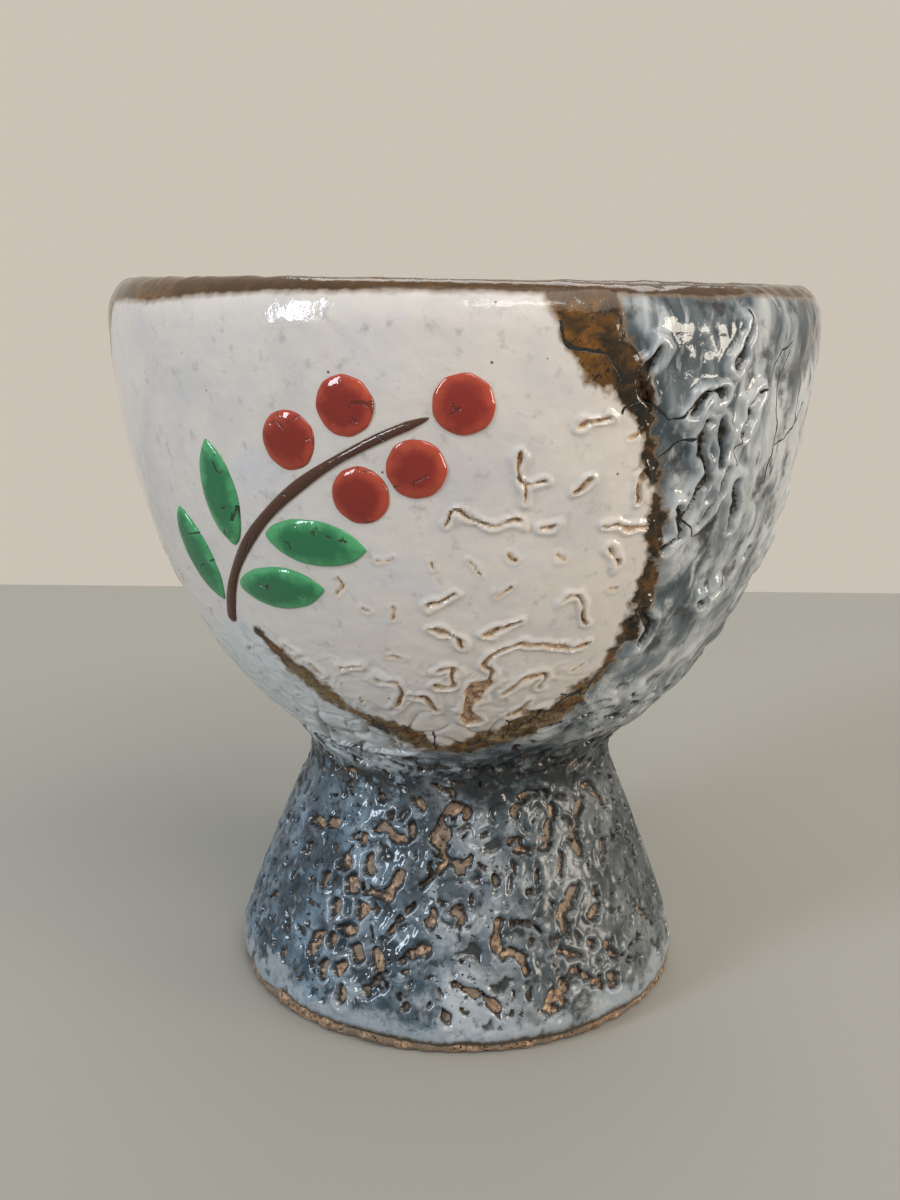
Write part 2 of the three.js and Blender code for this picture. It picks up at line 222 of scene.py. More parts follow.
def skin(angle, station, lift=0.0):
    """Places on the cup, lifted off its outline to the air side and swayed as by hand."""
    radius, height = off_outline(station, lift)
    sway = np.sin(2 * angle + 1.1) + 0.7 * np.sin(3 * angle + height / SWAY_TWIST)
    radius = radius * (1 + sway * WALL_SWAY / RIM_RADIUS)
    height = height + RIM_SWAY * np.sin(2 * angle + 2.4) * smooth(height, 0.7 * HEIGHT, HEIGHT)
    return around(angle, radius, height)


# The iron line's coat runs along the bowl's underside, climbs the right of the white glaze and widens
# into a patch under the lip. Its points give an angle in degrees and a share of the way up the glaze.
field_base = station_at(BOWL_GLAZE_BASE)
field_top = station_at(HEIGHT - RIM_IRON_TOP_ZONE)
field_height = field_top - field_base
IRON_PATH = [
    (-52, 0),
    (-30, 0.012),
    (-14, 0.02),
    (0, 0.045),
    (12.5, 0.085),
    (25.5, 0.17),
    (29.3, 0.33),
    (28, 0.58),
    (22, 0.83),
    (16, 1),
]

# The iron's colour keeps to its own strokes: the right one runs inside its coat, and the left one goes
# up over the white. Their points give an angle in degrees, then a height and half a width in millimetres.
RIGHT_STROKE = [
    (-7, 27.3, 0.8),
    (0, 27.7, 0.7),
    (8, 29, 1.1),
    (15.5, 30.5, 1.3),
    (21, 32.3, 1.1),
    (25.2, 34.7, 0.6),
    (27.8, 37.6, 0.75),
    (29.2, 41.8, 0.6),
    (28.7, 46.4, 0.5),
    (26.8, 51, 0.55),
    (24.2, 55.6, 0.6),
    (22.3, 58, 0.9),
    (20, 59.6, 1.5),
    (17.2, 61.2, 1.9),
    (15.4, 63.2, 2.2),
    (14.3, 65.4, 2.5),
]
LEFT_STROKE = [
    (-7, 27.3, 0.8),
    (-13, 28.9, 1.05),
    (-20, 30.5, 0.95),
    (-26.8, 32.2, 0.9),
    (-31, 34.2, 0.75),
    (-35.5, 36, 0.6),
    (-39.2, 38.2, 0.3),
]

# The white glaze's lower edge to the left of the iron's right stroke, given in the same way
WHITE_HEM = [(-52, 25.6, 0), (-30, 25.9, 0), (-16, 26.2, 0)]


def spline(points, share):
    """A smooth line through points, read at shares of the way along them."""
    points = np.array(points, float)
    padded = np.vstack([points[0], points, points[-1]])
    last = len(points) - 1
    place = np.clip(np.asarray(share) * last, 0, last - SLIGHT)
    first = place.astype(int)
    t = (place - first)[:, None]
    a, b, c, d = (padded[first + k] for k in range(4))
    start = (c - a) / 2
    end = (d - b) / 2
    return (2 * b - 2 * c + start + end) * t**3 + (3 * c - 3 * b - 2 * start - end) * t**2 + start * t + b


def iron_centre(share):
    """Spots along the middle of the iron line's coat, as an angle and a station."""
    spot = spline(IRON_PATH, share)
    return np.column_stack([np.radians(spot[:, 0]), field_base + spot[:, 1] * field_height])


def into_patch(station):
    """How far a station lies into the patch under the lip, from 0 to 1."""
    return smooth(station, field_top - IRON_PATCH_DEPTH, field_top)


def iron_half_width(share, station):
    swelling = 1 + 0.25 * np.sin(23 * share) * np.sin(9 * share + 1)
    tip = smooth(share, 0, 0.2)
    line = IRON_LINE_WIDTH * swelling * tip
    return (line + (IRON_PATCH_WIDTH - line) * into_patch(station) ** 2) / 2


EDGE_SHARES = np.linspace(0, 1, 801)


def beside_iron(share, side):
    """Spots at a share of the iron line, from its lower edge at side -1 to its upper edge at side 1."""
    centre = iron_centre(share)
    along = np.gradient(iron_centre(EDGE_SHARES), axis=0)
    along = np.column_stack([np.interp(share, EDGE_SHARES, along[:, k]) for k in range(2)])
    radius = radius_at(centre[:, 1])
    square = unit(np.column_stack([-along[:, 1], along[:, 0] * radius]))
    level = np.minimum(1, 2 * into_patch(centre[:, 1]))[:, None]
    square = unit(square * (1 - level) + np.array([-1, 0]) * level)
    offset = side * iron_half_width(share, centre[:, 1])
    angle = centre[:, 0] + square[:, 0] * offset / radius
    station = centre[:, 1] + square[:, 1] * offset
    return angle, np.clip(station, field_base, field_top)


# Edges that the white, the grey and the foot's glaze share with the iron line, and where they turn
upper_edge = np.column_stack(beside_iron(EDGE_SHARES, 1))
lower_edge = np.column_stack(beside_iron(EDGE_SHARES, -1))
WHITE_CORNER = math.radians(25)
GREY_CORNER = math.radians(26.5)
GREY_HEM_END = math.radians(46)
white_corner = int(np.argmax(upper_edge[:, 0] > WHITE_CORNER))
grey_corner = int(np.argmax(lower_edge[:, 0] > GREY_CORNER))


def white_right(station):
    edge = upper_edge[white_corner:]
    return np.interp(station, edge[:, 1], edge[:, 0])


def white_bottom(angle):
    edge = upper_edge[:white_corner + 1]
    return np.interp(angle, edge[:, 0], edge[:, 1])


def grey_left(station):
    edge = lower_edge[grey_corner:]
    return np.interp(station, edge[:, 1], edge[:, 0])


def foot_hem(angle):
    """The upper edge of the foot's glaze: under the iron line, then down to the bowl glaze's base."""
    angle = wrapped(angle)
    edge = lower_edge[:grey_corner + 1]
    under_line = np.interp(angle, edge[:, 0], edge[:, 1])
    return under_line + (field_base - under_line) * smooth(angle, GREY_CORNER, GREY_HEM_END)


def back_seam(station):
    """The angle of the ragged seam at the back, where the white and the grey glaze meet again."""
    share = (station - field_base) / field_height
    ragged = 1.6 * np.sin(21 * share) + 1.1 * np.sin(37 * share + 2)
    return np.radians(BACK_SEAM_ANGLE + BACK_SEAM_SWAY * np.sin(math.pi * share) + ragged)


# Height of the rim iron's lower edge at angles round the cup, in degrees and millimetres
RIM_IRON_EDGE = [
    (-180, 64.7),
    (-150, 65.1),
    (-118, 64.6),
    (-100, 62.6),
    (-90, 59.2),
    (-80, 57.6),
    (-75, 58.2),
    (-71, 61.2),
    (-67, 64.2),
    (-60, 64.4),
    (-50, 64.3),
    (-39, 64.8),
    (-28, 65.1),
    (-8, 65.3),
    (30, 65.3),
    (48, 65.4),
    (80, 64.9),
    (110, 65.2),
    (140, 64.4),
    (180, 64.7),
]


STROKE_SPOTS = 140
SEAM_REACH = math.radians(60)


def brushed(points):
    """Spots along the middle of a stroke, with half the stroke's width at each."""
    angle, height, half = spline(points, np.linspace(0, 1, STROKE_SPOTS)).T
    return np.column_stack([np.radians(angle), station_at(height * MM)]), half * MM


def zones(angle, station):
    """How far spots lie outside the iron and how far inside the white glaze, negative past its edge."""
    turn = wrapped(angle)
    angles, heights = np.array(RIM_IRON_EDGE).T
    iron = station_at(np.interp(np.degrees(turn), angles, heights) * MM) - station
    for points in (RIGHT_STROKE, LEFT_STROKE):
        for centre, half in zip(*brushed(points)):
            across = (turn - centre[0]) * radius_at(centre[1])
            iron = np.minimum(iron, np.hypot(across, station - centre[1]) - half)
    closest = np.full(len(angle), np.inf)
    white_side = np.ones(len(angle))
    border = brushed([*WHITE_HEM, *RIGHT_STROKE])[0]
    for centre, way in zip(border, np.gradient(border, axis=0)):
        radius = radius_at(centre[1])
        across = (turn - centre[0]) * radius
        up = station - centre[1]
        distance = np.hypot(across, up)
        closer = distance < closest
        closest[closer] = distance[closer]
        white_side[closer] = np.where(way[0] * radius * up > way[1] * across, 1, -1)[closer]
    past_seam = wrapped(angle - back_seam(station))
    seam = np.where(np.abs(past_seam) < SEAM_REACH, past_seam * radius_at(station), FAR)
    return iron, np.clip(np.minimum(white_side * closest, seam), -FAR, FAR)


# Relief: where a thick glaze crawls back it bares the clay in a worm-shaped gap with a rounded bead.
# An edge gives the gap's depth, the bead's height over the glaze, its rounding and how far it swells.
Edge = namedtuple("Edge", "depth lip bead reach")
Crawl = namedtuple("Crawl", "path half_width edge")

FOOT_EDGE = Edge(0.42 * MM, 0.16 * MM, 0.42 * MM, 1.4 * MM)
SPECK_EDGE = Edge(0.3 * MM, 0.08 * MM, 0.3 * MM, 0.8 * MM)
RING_EDGE = Edge(0.4 * MM, 0.3 * MM, 0.42 * MM, 1.0 * MM)
WHITE_EDGE = Edge(0.2 * MM, 0.2 * MM, 0.24 * MM, 0.6 * MM)
PRICK_EDGE = Edge(0.12 * MM, 0.08 * MM, 0.18 * MM, 0.42 * MM)
ISLAND_EDGE = Edge(0.38 * MM, 0.03 * MM, 1.0 * MM, 1.4 * MM)
GREY_EDGE = Edge(0.3 * MM, 0.2 * MM, 0.45 * MM, 1.3 * MM)
RIDGE_EDGE = Edge(0.4 * MM, 0.5 * MM, 0.5 * MM, 1.35 * MM)
CRAWL_REACH = 1.9 * MM
CRAWL_SOFTNESS = 0.1 * MM

# Gaps drawn one by one, each as a width in millimetres and points along its middle. A point is an angle
# in degrees and a height in millimetres.
FOOT_GAPS = [
    (1.3, [(1, 20.3), (-5, 19.7), (-6.5, 18.6), (-5, 17.2), (-3, 16.2), (-7, 15.2), (-10, 14.4)]),
    (0.9, [(-3, 16.4), (1, 15.8), (3, 16.6)]),
    (0.8, [(31, 21), (25, 21.2), (19.5, 20.3), (19, 19.2)]),
    (0.8, [(34, 19.5), (31.5, 18), (27, 16.7), (20, 16.9), (18, 17.5)]),
    (0.9, [(39, 17), (42, 15.4)]),
    (0.8, [(50, 20.6), (56.5, 19.6), (60.5, 17.7)]),
    (0.9, [(34, 15.7), (31, 14.5)]),
    (1.0, [(36, 12.8), (31.5, 11.8), (28.5, 9.4)]),
    (0.7, [(10, 11), (10.5, 9), (13.5, 8.4), (17, 7.8), (17, 5.4)]),
    (0.8, [(0, 6.4), (5, 5.3), (9.5, 4.2)]),
    (0.8, [(-58, 16.3), (-48, 17.1), (-41.5, 18.1)]),
    (0.9, [(-26, 18.2), (-20, 17.8), (-16, 18.4)]),
    (0.7, [(-28, 12.9), (-22, 12.9), (-18.5, 14), (-17, 15)]),
    (1.1, [(-39, 8.4), (-41.5, 6.6)]),
    (1.1, [(-24, 4.9), (-20, 5.6)]),
    (1.0, [(-21, 8.4), (-19.5, 6.9)]),
    (0.8, [(-12.8, 7.2), (-12, 8.5), (-8.5, 8.9)]),
    (0.9, [(20, 25.6), (23, 25.7)]),
    (0.9, [(42, 25.8), (45, 26.2)]),
    (0.7, [(4, 24.6), (5, 24.2)]),
    (0.6, [(-12, 24.2), (-9, 24.3)]),
    (0.7, [(-35, 24.3), (-32, 24)]),
    (0.6, [(25, 24.6), (31, 24.5), (34, 24.7)]),
]
FOOT_RINGS = [
    (-28, 15.2),
    (-36.5, 14.7),
    (-32, 13),
    (-27.5, 11.3),
    (-30.5, 9.5),
    (-27, 7.7),
    (-31, 6),
    (-29.5, 3.9),
    (-36, 5.6),
    (-37, 10.8),
    (-43, 12.6),
    (-35, 8),
]
WHITE_GAPS = [
    (0.26, [(7, 54), (6.5, 53), (8, 51.9), (10.8, 52)]),
    (0.2, [(8, 51.8), (8.2, 50.7)]),
    (0.22, [(14.5, 56), (18.5, 56.7)]),
    (0.24, [(14.5, 51.3), (17, 52.1)]),
    (0.24, [(-2.8, 48.8), (-1.8, 49.8), (2, 49.1), (5.2, 48.8), (7.5, 49.1)]),
    (0.2, [(10.2, 48.7), (12.5, 48.8)]),
    (0.24, [(19.5, 48.7), (22.2, 48.5), (27, 48.3)]),
    (0.28, [(21, 46.7), (23, 45.3)]),
    (0.22, [(-5.8, 42.3), (-1.5, 43.2)]),
    (0.2, [(-5.2, 40), (-2.5, 40.1), (0, 38.8)]),
    (0.24, [(-15.5, 35.2), (-12.4, 34.8), (-11.8, 33.8), (-13.5, 32.4)]),
    (0.28, [(-9.8, 33.8), (-7, 33.5), (-5.2, 32.3)]),
    (0.14, [(-33.4, 37.6), (-31.5, 36.9)]),
    (0.2, [(-28.7, 35.7), (-27, 35.1)]),
    (0.14, [(-22.5, 36.1), (-18.8, 36.3)]),
    (0.24, [(3.5, 39.9), (8.8, 40.9)]),
    (0.32, [(21, 38.5), (16.8, 38.4), (8.6, 38.9), (4.3, 37.4), (5.1, 35.8), (3.2, 34.5), (1.1, 33.2),
            (1.2, 30.8)]),
    (1.1, [(4.2, 35.4), (2.6, 34.3), (1.2, 33), (1.3, 31)]),
    (0.26, [(7.8, 34.3), (13.8, 35.9), (14.8, 34.6)]),
    (0.34, [(9.2, 31.6), (11.5, 32.4), (13.2, 33.4)]),
    (0.26, [(15, 42.4), (17.2, 43.1), (19.8, 40.4)]),
    (0.3, [(-4.6, 34.9), (-2.2, 35), (-1.4, 35.7), (-1.9, 36.7), (-4.2, 36.2)]),
    (0.34, [(24, 50.5), (25, 52.6)]),
]
GREY_GAPS = [
    (0.3, [(24.6, 61.4), (22.6, 60), (22.2, 59), (23.6, 57.6)]),
    (0.4, [(33.2, 56), (33.5, 54.3), (35, 52.1), (34.2, 50.4), (32.5, 48.7)]),
    (0.28, [(36.4, 56), (37.8, 54.2), (37.6, 52.8)]),
    (0.36, [(44.2, 58.1), (42.2, 56.9), (41.2, 55.2)]),
    (0.34, [(40.2, 63), (39, 61.3), (37.6, 60.3)]),
    (0.3, [(36, 58.2), (33, 58), (30.5, 56.8)]),
    (0.28, [(39.5, 52.4), (38.5, 50.2), (36, 48.4)]),
    (0.3, [(31, 49.6), (33, 47.6), (30, 46.2)]),
    (0.3, [(42.5, 51.3), (43.5, 47.4)]),
    (0.3, [(43.5, 40.8), (46.8, 41.8)]),
    (0.5, [(30.5, 41.2), (32.5, 39.6), (32, 37.8)]),
]

# Hairline cracks in the grey glaze and across the iron, drawn the same way but without a width
CRACKS = [
    [(11, 63.4), (12.5, 61.6), (17.2, 61.1), (19.5, 59.3)],
    [(20, 57), (22.5, 58), (25.8, 56.9), (28, 56.4), (31, 57.8)],
    [(24.5, 52.7), (28.5, 54.4), (32.2, 55.1)],
    [(44.2, 58.1), (46.5, 58.8), (48, 60.3), (52, 61.9)],
    [(41.2, 55.2), (40.4, 53.8), (41, 52.6)],
    [(51.5, 50.4), (52, 53.5), (50, 56.6), (49.8, 58.7), (52, 61)],
    [(57.7, 54.6), (58.2, 58.5), (58.5, 61.3), (61, 63.4)],
    [(52, 53.5), (56, 54.2), (61, 56.8)],
    [(40.2, 63), (39.6, 64.2)],
    [(33, 48.6), (36.4, 47), (40, 47.9)],
    [(46.8, 41.8), (48.6, 43.6)],
    [(-6.7, 29.5), (-6.3, 27.2)],
    [(-14.5, 29.6), (-11, 29.9)],
    [(-1, 28.4), (2.5, 28.2), (5, 28.9)],
    [(9.2, 31.3), (10.5, 30.2), (10.4, 29)],
    [(11.5, 29.9), (14, 30.6), (17, 31.6), (20, 32.7), (23, 33.9), (24.8, 33.4), (25.3, 34.7), (27, 35.5)],
    [(19.6, 33.7), (22, 33.5), (23.4, 34.2)],
]


def ripple(places, size, seed=0.0):
    """Smooth noise from about -0.8 to 0.8 with bumps of a size, at each place."""
    shift = Vector((seed, 3.1 * seed, 7.3 * seed))
    return np.array([noise.noise(Vector(place) / size + shift) for place in places])


def drawn(points, stride=0.3 * MM):
    """A smooth path of spots through points of an angle in degrees and a height in millimetres."""
    spots = np.array([(math.radians(angle), station_at(height * MM)) for angle, height in points])
    length = np.hypot(*(np.diff(spots, axis=0) * (radius_at(spots[0, 1]), 1)).T).sum()
    return spline(spots, np.linspace(0, 1, max(4, round(length / stride))))


def wander(rng, angle, station, heading, length, bend):
    """A path from its middle outwards: short steps whose heading drifts."""
    stride = 0.35 * MM
    halves = []
    for way in (0, math.pi):
        spot = np.array([angle, station])
        direction = heading + way
        drift = rng.normal(0, bend)
        half = []
        for _ in range(max(1, round(length / 2 / stride))):
            drift += rng.normal(0, bend / 3)
            direction += drift
            step = np.array([math.cos(direction) / radius_at(spot[1]), math.sin(direction)])
            spot = spot + stride * step
            half.append(spot)
        halves.append(half)
    return np.array([*reversed(halves[1]), np.array([angle, station]), *halves[0]])


TRIES_PER_SPOT = 80


def scatter(rng, count, angles, heights, spacing, taken=(), chance=None):
    """Spots spread at random in a patch of the outside, clear of each other and of paths already taken."""
    spots = [spot for crawl in taken for spot in crawl.path[::3]]
    old = len(spots)
    for _ in range(TRIES_PER_SPOT * count):
        angle = math.radians(rng.uniform(*angles))
        station = station_at(rng.uniform(*heights) * MM)
        if chance is not None and rng.random() > chance(math.degrees(angle), height_at(station) / MM):
            continue
        radius = radius_at(station)
        if all(math.hypot((angle - a) * radius, station - s) > spacing for a, s in spots):
            spots.append((angle, station))
        if len(spots) == old + count:
            break
    return spots[old:]


def drawn_crawls(gaps, edge):
    return [Crawl(drawn(points), width / 2 * MM, edge) for width, points in gaps]


def curl(rng, spot, heading, length, bend, half_widths, edge):
    """A gap that wanders off from a spot. Its length and the range of its half width are in millimetres."""
    path = wander(rng, *spot, heading, length * MM, bend)
    return Crawl(path, rng.uniform(*half_widths) * MM, edge)


def foot_crawls():
    """Curly gaps all over the foot, rounder and closer on its left."""
    rng = np.random.default_rng(11)
    crawls = drawn_crawls(FOOT_GAPS, FOOT_EDGE)
    for angle, height in FOOT_RINGS:
        spot = (math.radians(angle), station_at(height * MM))
        crawls.append(curl(rng, spot, rng.normal(1.4, 0.5), 0.8, 0.1, (0.4, 0.6), RING_EDGE))
    for spot in scatter(rng, 170, (-180, 180), (3.6, 21.5), 2.4 * MM, crawls):
        round_side = smooth(-math.degrees(spot[0]), -5, 35)
        short = rng.random() < 0.3 + 0.4 * round_side
        length = rng.uniform(0.4, 1.2) if short else rng.uniform(1.4, 4.2)
        heading = rng.normal(math.pi / 2, 0.7)
        crawls.append(curl(rng, spot, heading, length, rng.uniform(0.08, 0.4), (0.18, 0.42), FOOT_EDGE))
    for spot in scatter(rng, 200, (-180, 180), (3.0, 24.5), 1.35 * MM, crawls):
        heading = rng.uniform(0, math.pi)
        crawls.append(curl(rng, spot, heading, rng.uniform(0.2, 0.9), 0.3, (0.05, 0.16), SPECK_EDGE))
    for spot in scatter(rng, 50, (-180, 180), (21.5, 26), 1.7 * MM, crawls):
        heading = rng.normal(0, 0.25)
        crawls.append(curl(rng, spot, heading, rng.uniform(0.6, 2.4), 0.12, (0.14, 0.32), GREY_EDGE))
    return crawls


def white_crawls():
    """Fine gaps that gather towards the white glaze's lower right, and a few elsewhere."""
    rng = np.random.default_rng(23)
    crawls = drawn_crawls(WHITE_GAPS, WHITE_EDGE)

    def gathering(angle, height):
        return smooth(angle - 1.1 * height, -66, -10)

    for spot in scatter(rng, 20, (-22, 24), (30, 57), 2.6 * MM, crawls, gathering):
        heading = rng.choice([0.15, 0.5, 1.2, 2.4]) + rng.normal(0, 0.3)
        length = rng.uniform(0.2, 1.5)
        crawls.append(curl(rng, spot, heading, length, rng.uniform(0.1, 0.35), (0.04, 0.1), PRICK_EDGE))
    for spot in scatter(rng, 60, (-165, -15), (27, 44), 2.4 * MM, crawls):
        heading = rng.uniform(0, math.pi)
        crawls.append(curl(rng, spot, heading, rng.uniform(0.4, 2.4), 0.25, (0.03, 0.09), PRICK_EDGE))
    return crawls


def grey_crawls():
    """Steep thick-beaded gaps beside the iron line, and smaller ones on the rest of the grey glaze."""
    rng = np.random.default_rng(37)
    crawls = drawn_crawls(GREY_GAPS, RIDGE_EDGE)
    for spot in scatter(rng, 26, (70, 190), (33, 62), 6 * MM, crawls):
        edge = RIDGE_EDGE if rng.random() < 0.4 else GREY_EDGE
        crawls.append(curl(rng, spot, rng.normal(1.3, 0.4), rng.uniform(0.8, 5), 0.15, (0.08, 0.22), edge))
    for spot in scatter(rng, 9, (32, 75), (33, 48), 4.5 * MM, crawls):
        heading = rng.normal(1.2, 0.5)
        crawls.append(curl(rng, spot, heading, rng.uniform(0.3, 1.2), 0.2, (0.06, 0.14), GREY_EDGE))
    for spot in scatter(rng, 110, (10, 192), (26, 32.5), 1.8 * MM, crawls):
        heading = rng.normal(0.3, 0.6)
        crawls.append(curl(rng, spot, heading, rng.uniform(0.3, 1.8), 0.2, (0.08, 0.22), GREY_EDGE))
    return crawls


def crack_paths():
    """The drawn cracks, and steep ones that run on round the side and back of the grey glaze."""
    rng = np.random.default_rng(61)
    paths = [drawn(points) for points in CRACKS]
    for spot in scatter(rng, 20, (62, 192), (36, 63), 5.5 * MM):
        paths.append(wander(rng, *spot, rng.normal(1.45, 0.2), rng.uniform(3, 9) * MM, 0.02))
    return paths


ALL_CRAWLS = [*foot_crawls(), *white_crawls(), *grey_crawls()]
ALL_CRACKS = crack_paths()


def near_path(angle, station, path, reach):
    """Which spots lie within reach of a path, and those spots and the path itself, laid flat."""
    middle = path.mean(axis=0)
    radius = radius_at(middle[1])
    across = wrapped(angle - middle[0]) * radius
    up = station - middle[1]
    flat = (path - middle) * np.array([radius, 1])
    span = np.abs(flat).max(axis=0) + reach
    near = np.flatnonzero((np.abs(across) < span[0]) & (np.abs(up) < span[1]))
    return near, np.column_stack([across[near], up[near]]), flat


def path_distance(spots, flat):
    """The distance of spots from a path, the side of it they lie on, and whether they lie beside it."""
    distance = np.full(len(spots), np.inf)
    side = np.ones(len(spots))
    beside = np.zeros(len(spots), bool)
    for k, (start, end) in enumerate(zip(flat, flat[1:])):
        way = end - start
        share = (spots - start) @ way / (way @ way)
        off = spots - start - np.clip(share, 0, 1)[:, None] * way
        span = np.linalg.norm(off, axis=1)
        closer = span < distance
        distance[closer] = span[closer]
        side[closer] = np.sign(way[0] * off[closer, 1] - way[1] * off[closer, 0] + FAINT)
        past_end = (k == 0) & (share < 0) | (k == len(flat) - 2) & (share > 1)
        beside[closer] = ~past_end[closer]
    return distance, side, beside


def cracks_near(angle, station):
    """The signed distance from the nearest hairline crack, and 1 beside a crack or 0 past its ends."""
    offset = np.full(len(angle), FAR)
    here = np.zeros(len(angle))
    reach = 0.7 * MM
    places = skin(angle, station)
    shiver = 0.3 * MM * ripple(places, 1.4 * MM, 31) + 0.12 * MM * ripple(places, 0.5 * MM, 32)
    for path in ALL_CRACKS:
        near, spots, flat = near_path(angle, station, path, reach)
        distance, side, beside = path_distance(spots, flat)
        signed = distance * side + shiver[near]
        closer = np.abs(signed) < np.abs(offset[near])
        offset[near[closer]] = signed[closer]
        here[near[closer]] = (beside & (distance < reach))[closer]
    return offset, here


# Islands that the white glaze breaks into at its lower edge: their pitch, and how far it bends
ISLAND_PITCH = 3.8 * MM
ISLAND_BEND = 1.7 * MM
ISLAND_BEND_SIZE = 2.4 * MM
ISLAND_TOP = 37 * MM


def island_distance(angle, station, places):
    """How far spots lie from the cracks between the white glaze's islands."""
    rng = np.random.default_rng(51)
    turn = wrapped(angle)
    height = height_at(station)
    here = (turn > math.radians(-80)) & (turn < math.radians(34)) & (height < ISLAND_TOP)
    near = np.flatnonzero(here)
    distance = np.full(len(angle), FAR)
    if len(near) == 0:
        return distance
    places = places[near]
    middle_radius = radius_at(station_at(30 * MM))
    flat = np.column_stack([turn[near] * middle_radius, (station[near] - field_base) * 1.25])
    bend = np.column_stack([ripple(places, ISLAND_BEND_SIZE, seed) for seed in (44, 45)])
    spots = flat + ISLAND_BEND * bend
    left = math.radians(-90) * middle_radius
    right = math.radians(44) * middle_radius
    columns = np.arange(left, right, ISLAND_PITCH)
    rows = np.arange(-ISLAND_PITCH, 20 * MM, ISLAND_PITCH)
    centres = np.array([(x, y) for x in columns for y in rows])
    centres += rng.uniform(-0.46, 0.46, centres.shape) * ISLAND_PITCH
    closest = np.full(len(near), np.inf)
    second = np.full(len(near), np.inf)
    for centre in centres:
        away = np.linalg.norm(spots - centre, axis=1)
        second = np.minimum(second, np.maximum(closest, away))
        closest = np.minimum(closest, away)
    opening = 1 - smooth(height[near], 27 * MM, 34 * MM)
    side = smooth(turn[near], math.radians(-76), math.radians(-20))
    patchy = 0.3 * MM * ripple(places, 2.6 * MM, 5)
    half = 0.34 * MM * opening * side + patchy * opening - 0.45 * MM * (1 - opening * side)
    distance[near] = (second - closest) / 2 - half
    return distance


def gaps_and_edges(angle, station, white_side, places, fine):
    """The distance to the nearest gap, with the depth, lip, bead and reach of that gap's edge."""
    ragged = ripple(places, 0.9 * MM, 1) + 0.6 * fine
    swelling = np.clip(1 + 1.3 * ripple(places, 1.6 * MM, 43), 0.1, 1.8)
    wiggle = 0.5 * MM * np.column_stack([ripple(places, 1.3 * MM, seed) for seed in (41, 42)])
    drops = 1.6 * smooth(ripple(places, 0.75 * MM, 46), 0.12, 0.45)
    nearness = np.full(len(angle), FAINT)
    shape = np.tile(np.array(WHITE_EDGE) * FAINT, (len(angle), 1))

    def press(near, distance, edge):
        weight = np.exp(-np.maximum(distance, -0.8 * MM) / CRAWL_SOFTNESS)
        nearness[near] += weight
        shape[near] += weight[:, None] * np.array(edge)

    for crawl in ALL_CRAWLS:
        near, spots, flat = near_path(angle, station, crawl.path, crawl.half_width + CRAWL_REACH)
        distance = path_distance(spots + wiggle[near], flat)[0]
        half_width = crawl.half_width
        uneven = ragged[near] * min(0.6 * half_width + 0.02 * MM, 0.2 * MM)
        if crawl.edge is FOOT_EDGE:
            uneven += drops[near] * min(half_width, 0.4 * MM)
        if crawl.edge is not RING_EDGE:
            half_width = half_width * swelling[near]
        press(near, distance - half_width + uneven, crawl.edge)
    islands = island_distance(angle, station, places)
    near = np.flatnonzero((islands < CRAWL_REACH) & (white_side > 0.3 * MM))
    press(near, islands[near] + 0.09 * MM * ragged[near], ISLAND_EDGE)
    return -CRAWL_SOFTNESS * np.log(nearness), (shape / nearness[:, None]).T


def relief(angle, station, white_side):
    """The glaze's lift and the distance to the nearest gap's edge at each spot of the outside."""
    places = skin(angle, station)
    fine = ripple(places, 0.4 * MM, 2)
    gap, (depth, lip, bead, reach) = gaps_and_edges(angle, station, white_side, places, fine)
    rounding = np.sqrt(1 - (1 - np.clip(gap / bead, 0, 1)) ** 2)
    swell = 1 - smooth(gap, bead, reach)
    beads = -depth + (depth + lip * swell) * rounding
    bare = 1 - smooth(gap, -0.05 * MM, 0.05 * MM)
    clay_grain = 0.17 * MM * (ripple(places, 0.6 * MM, 14) + 0.5 * fine) * bare

    height = height_at(station)
    foot = 1 - smooth(height, 24 * MM, 28 * MM)
    rough = np.maximum(foot, 1 - smooth(white_side, -1 * MM, 1.5 * MM))
    calm = 1 - 0.5 * (1 - smooth(height, 2 * MM, 4.5 * MM))
    calm *= 1 - 0.85 * smooth(wrapped(angle), math.radians(8), math.radians(45))
    waves = 0.13 * MM * ripple(places, 3.4 * MM, 3) + 0.07 * MM * ripple(places, 1.5 * MM, 4)
    peel = 0.022 * MM * ripple(places, 0.8 * MM, 6)
    dimples = 0.24 * MM * smooth(ripple(places, 1.2 * MM, 7), 0.26, 0.5)
    dimples = dimples * smooth(gap, 0.1 * MM, 0.5 * MM)
    waves *= (0.35 + 0.65 * rough) * (1 - foot * (1 - calm))
    waves *= 1 + 0.7 * (1 - smooth(white_side, -3 * MM, -0.5 * MM)) * (1 - foot)
    lift = beads + clay_grain + waves + (1 + foot * calm) * peel - foot * calm * dimples
    return lift, np.minimum(gap, FAR)


# Pieces
def spread(stops):
    """Shares of the way from the first angle to the last, evenly spaced on each stretch between stops.
    A stop is an angle in degrees with the cell width, at the rim, of the stretch that ends there."""
    values = [stops[0][0]]
    for (start, _), (end, cell) in zip(stops, stops[1:]):
        length = math.radians(end - start) * RIM_RADIUS
        count = max(1, round(length / cell))
        values.extend(start + (end - start) * (k + 1) / count for k in range(count))
    values = np.array(values)
    return (values - values[0]) / (values[-1] - values[0])


def even(length, cell):
    """Shares of the way along a length, a cell apart."""
    return np.linspace(0, 1, max(2, round(length / cell)) + 1)


def new_piece(name):
    """The primitive that was just added, named as a piece."""
    piece = bpy.context.object
    piece.name = name
    piece.data.name = name
    return piece


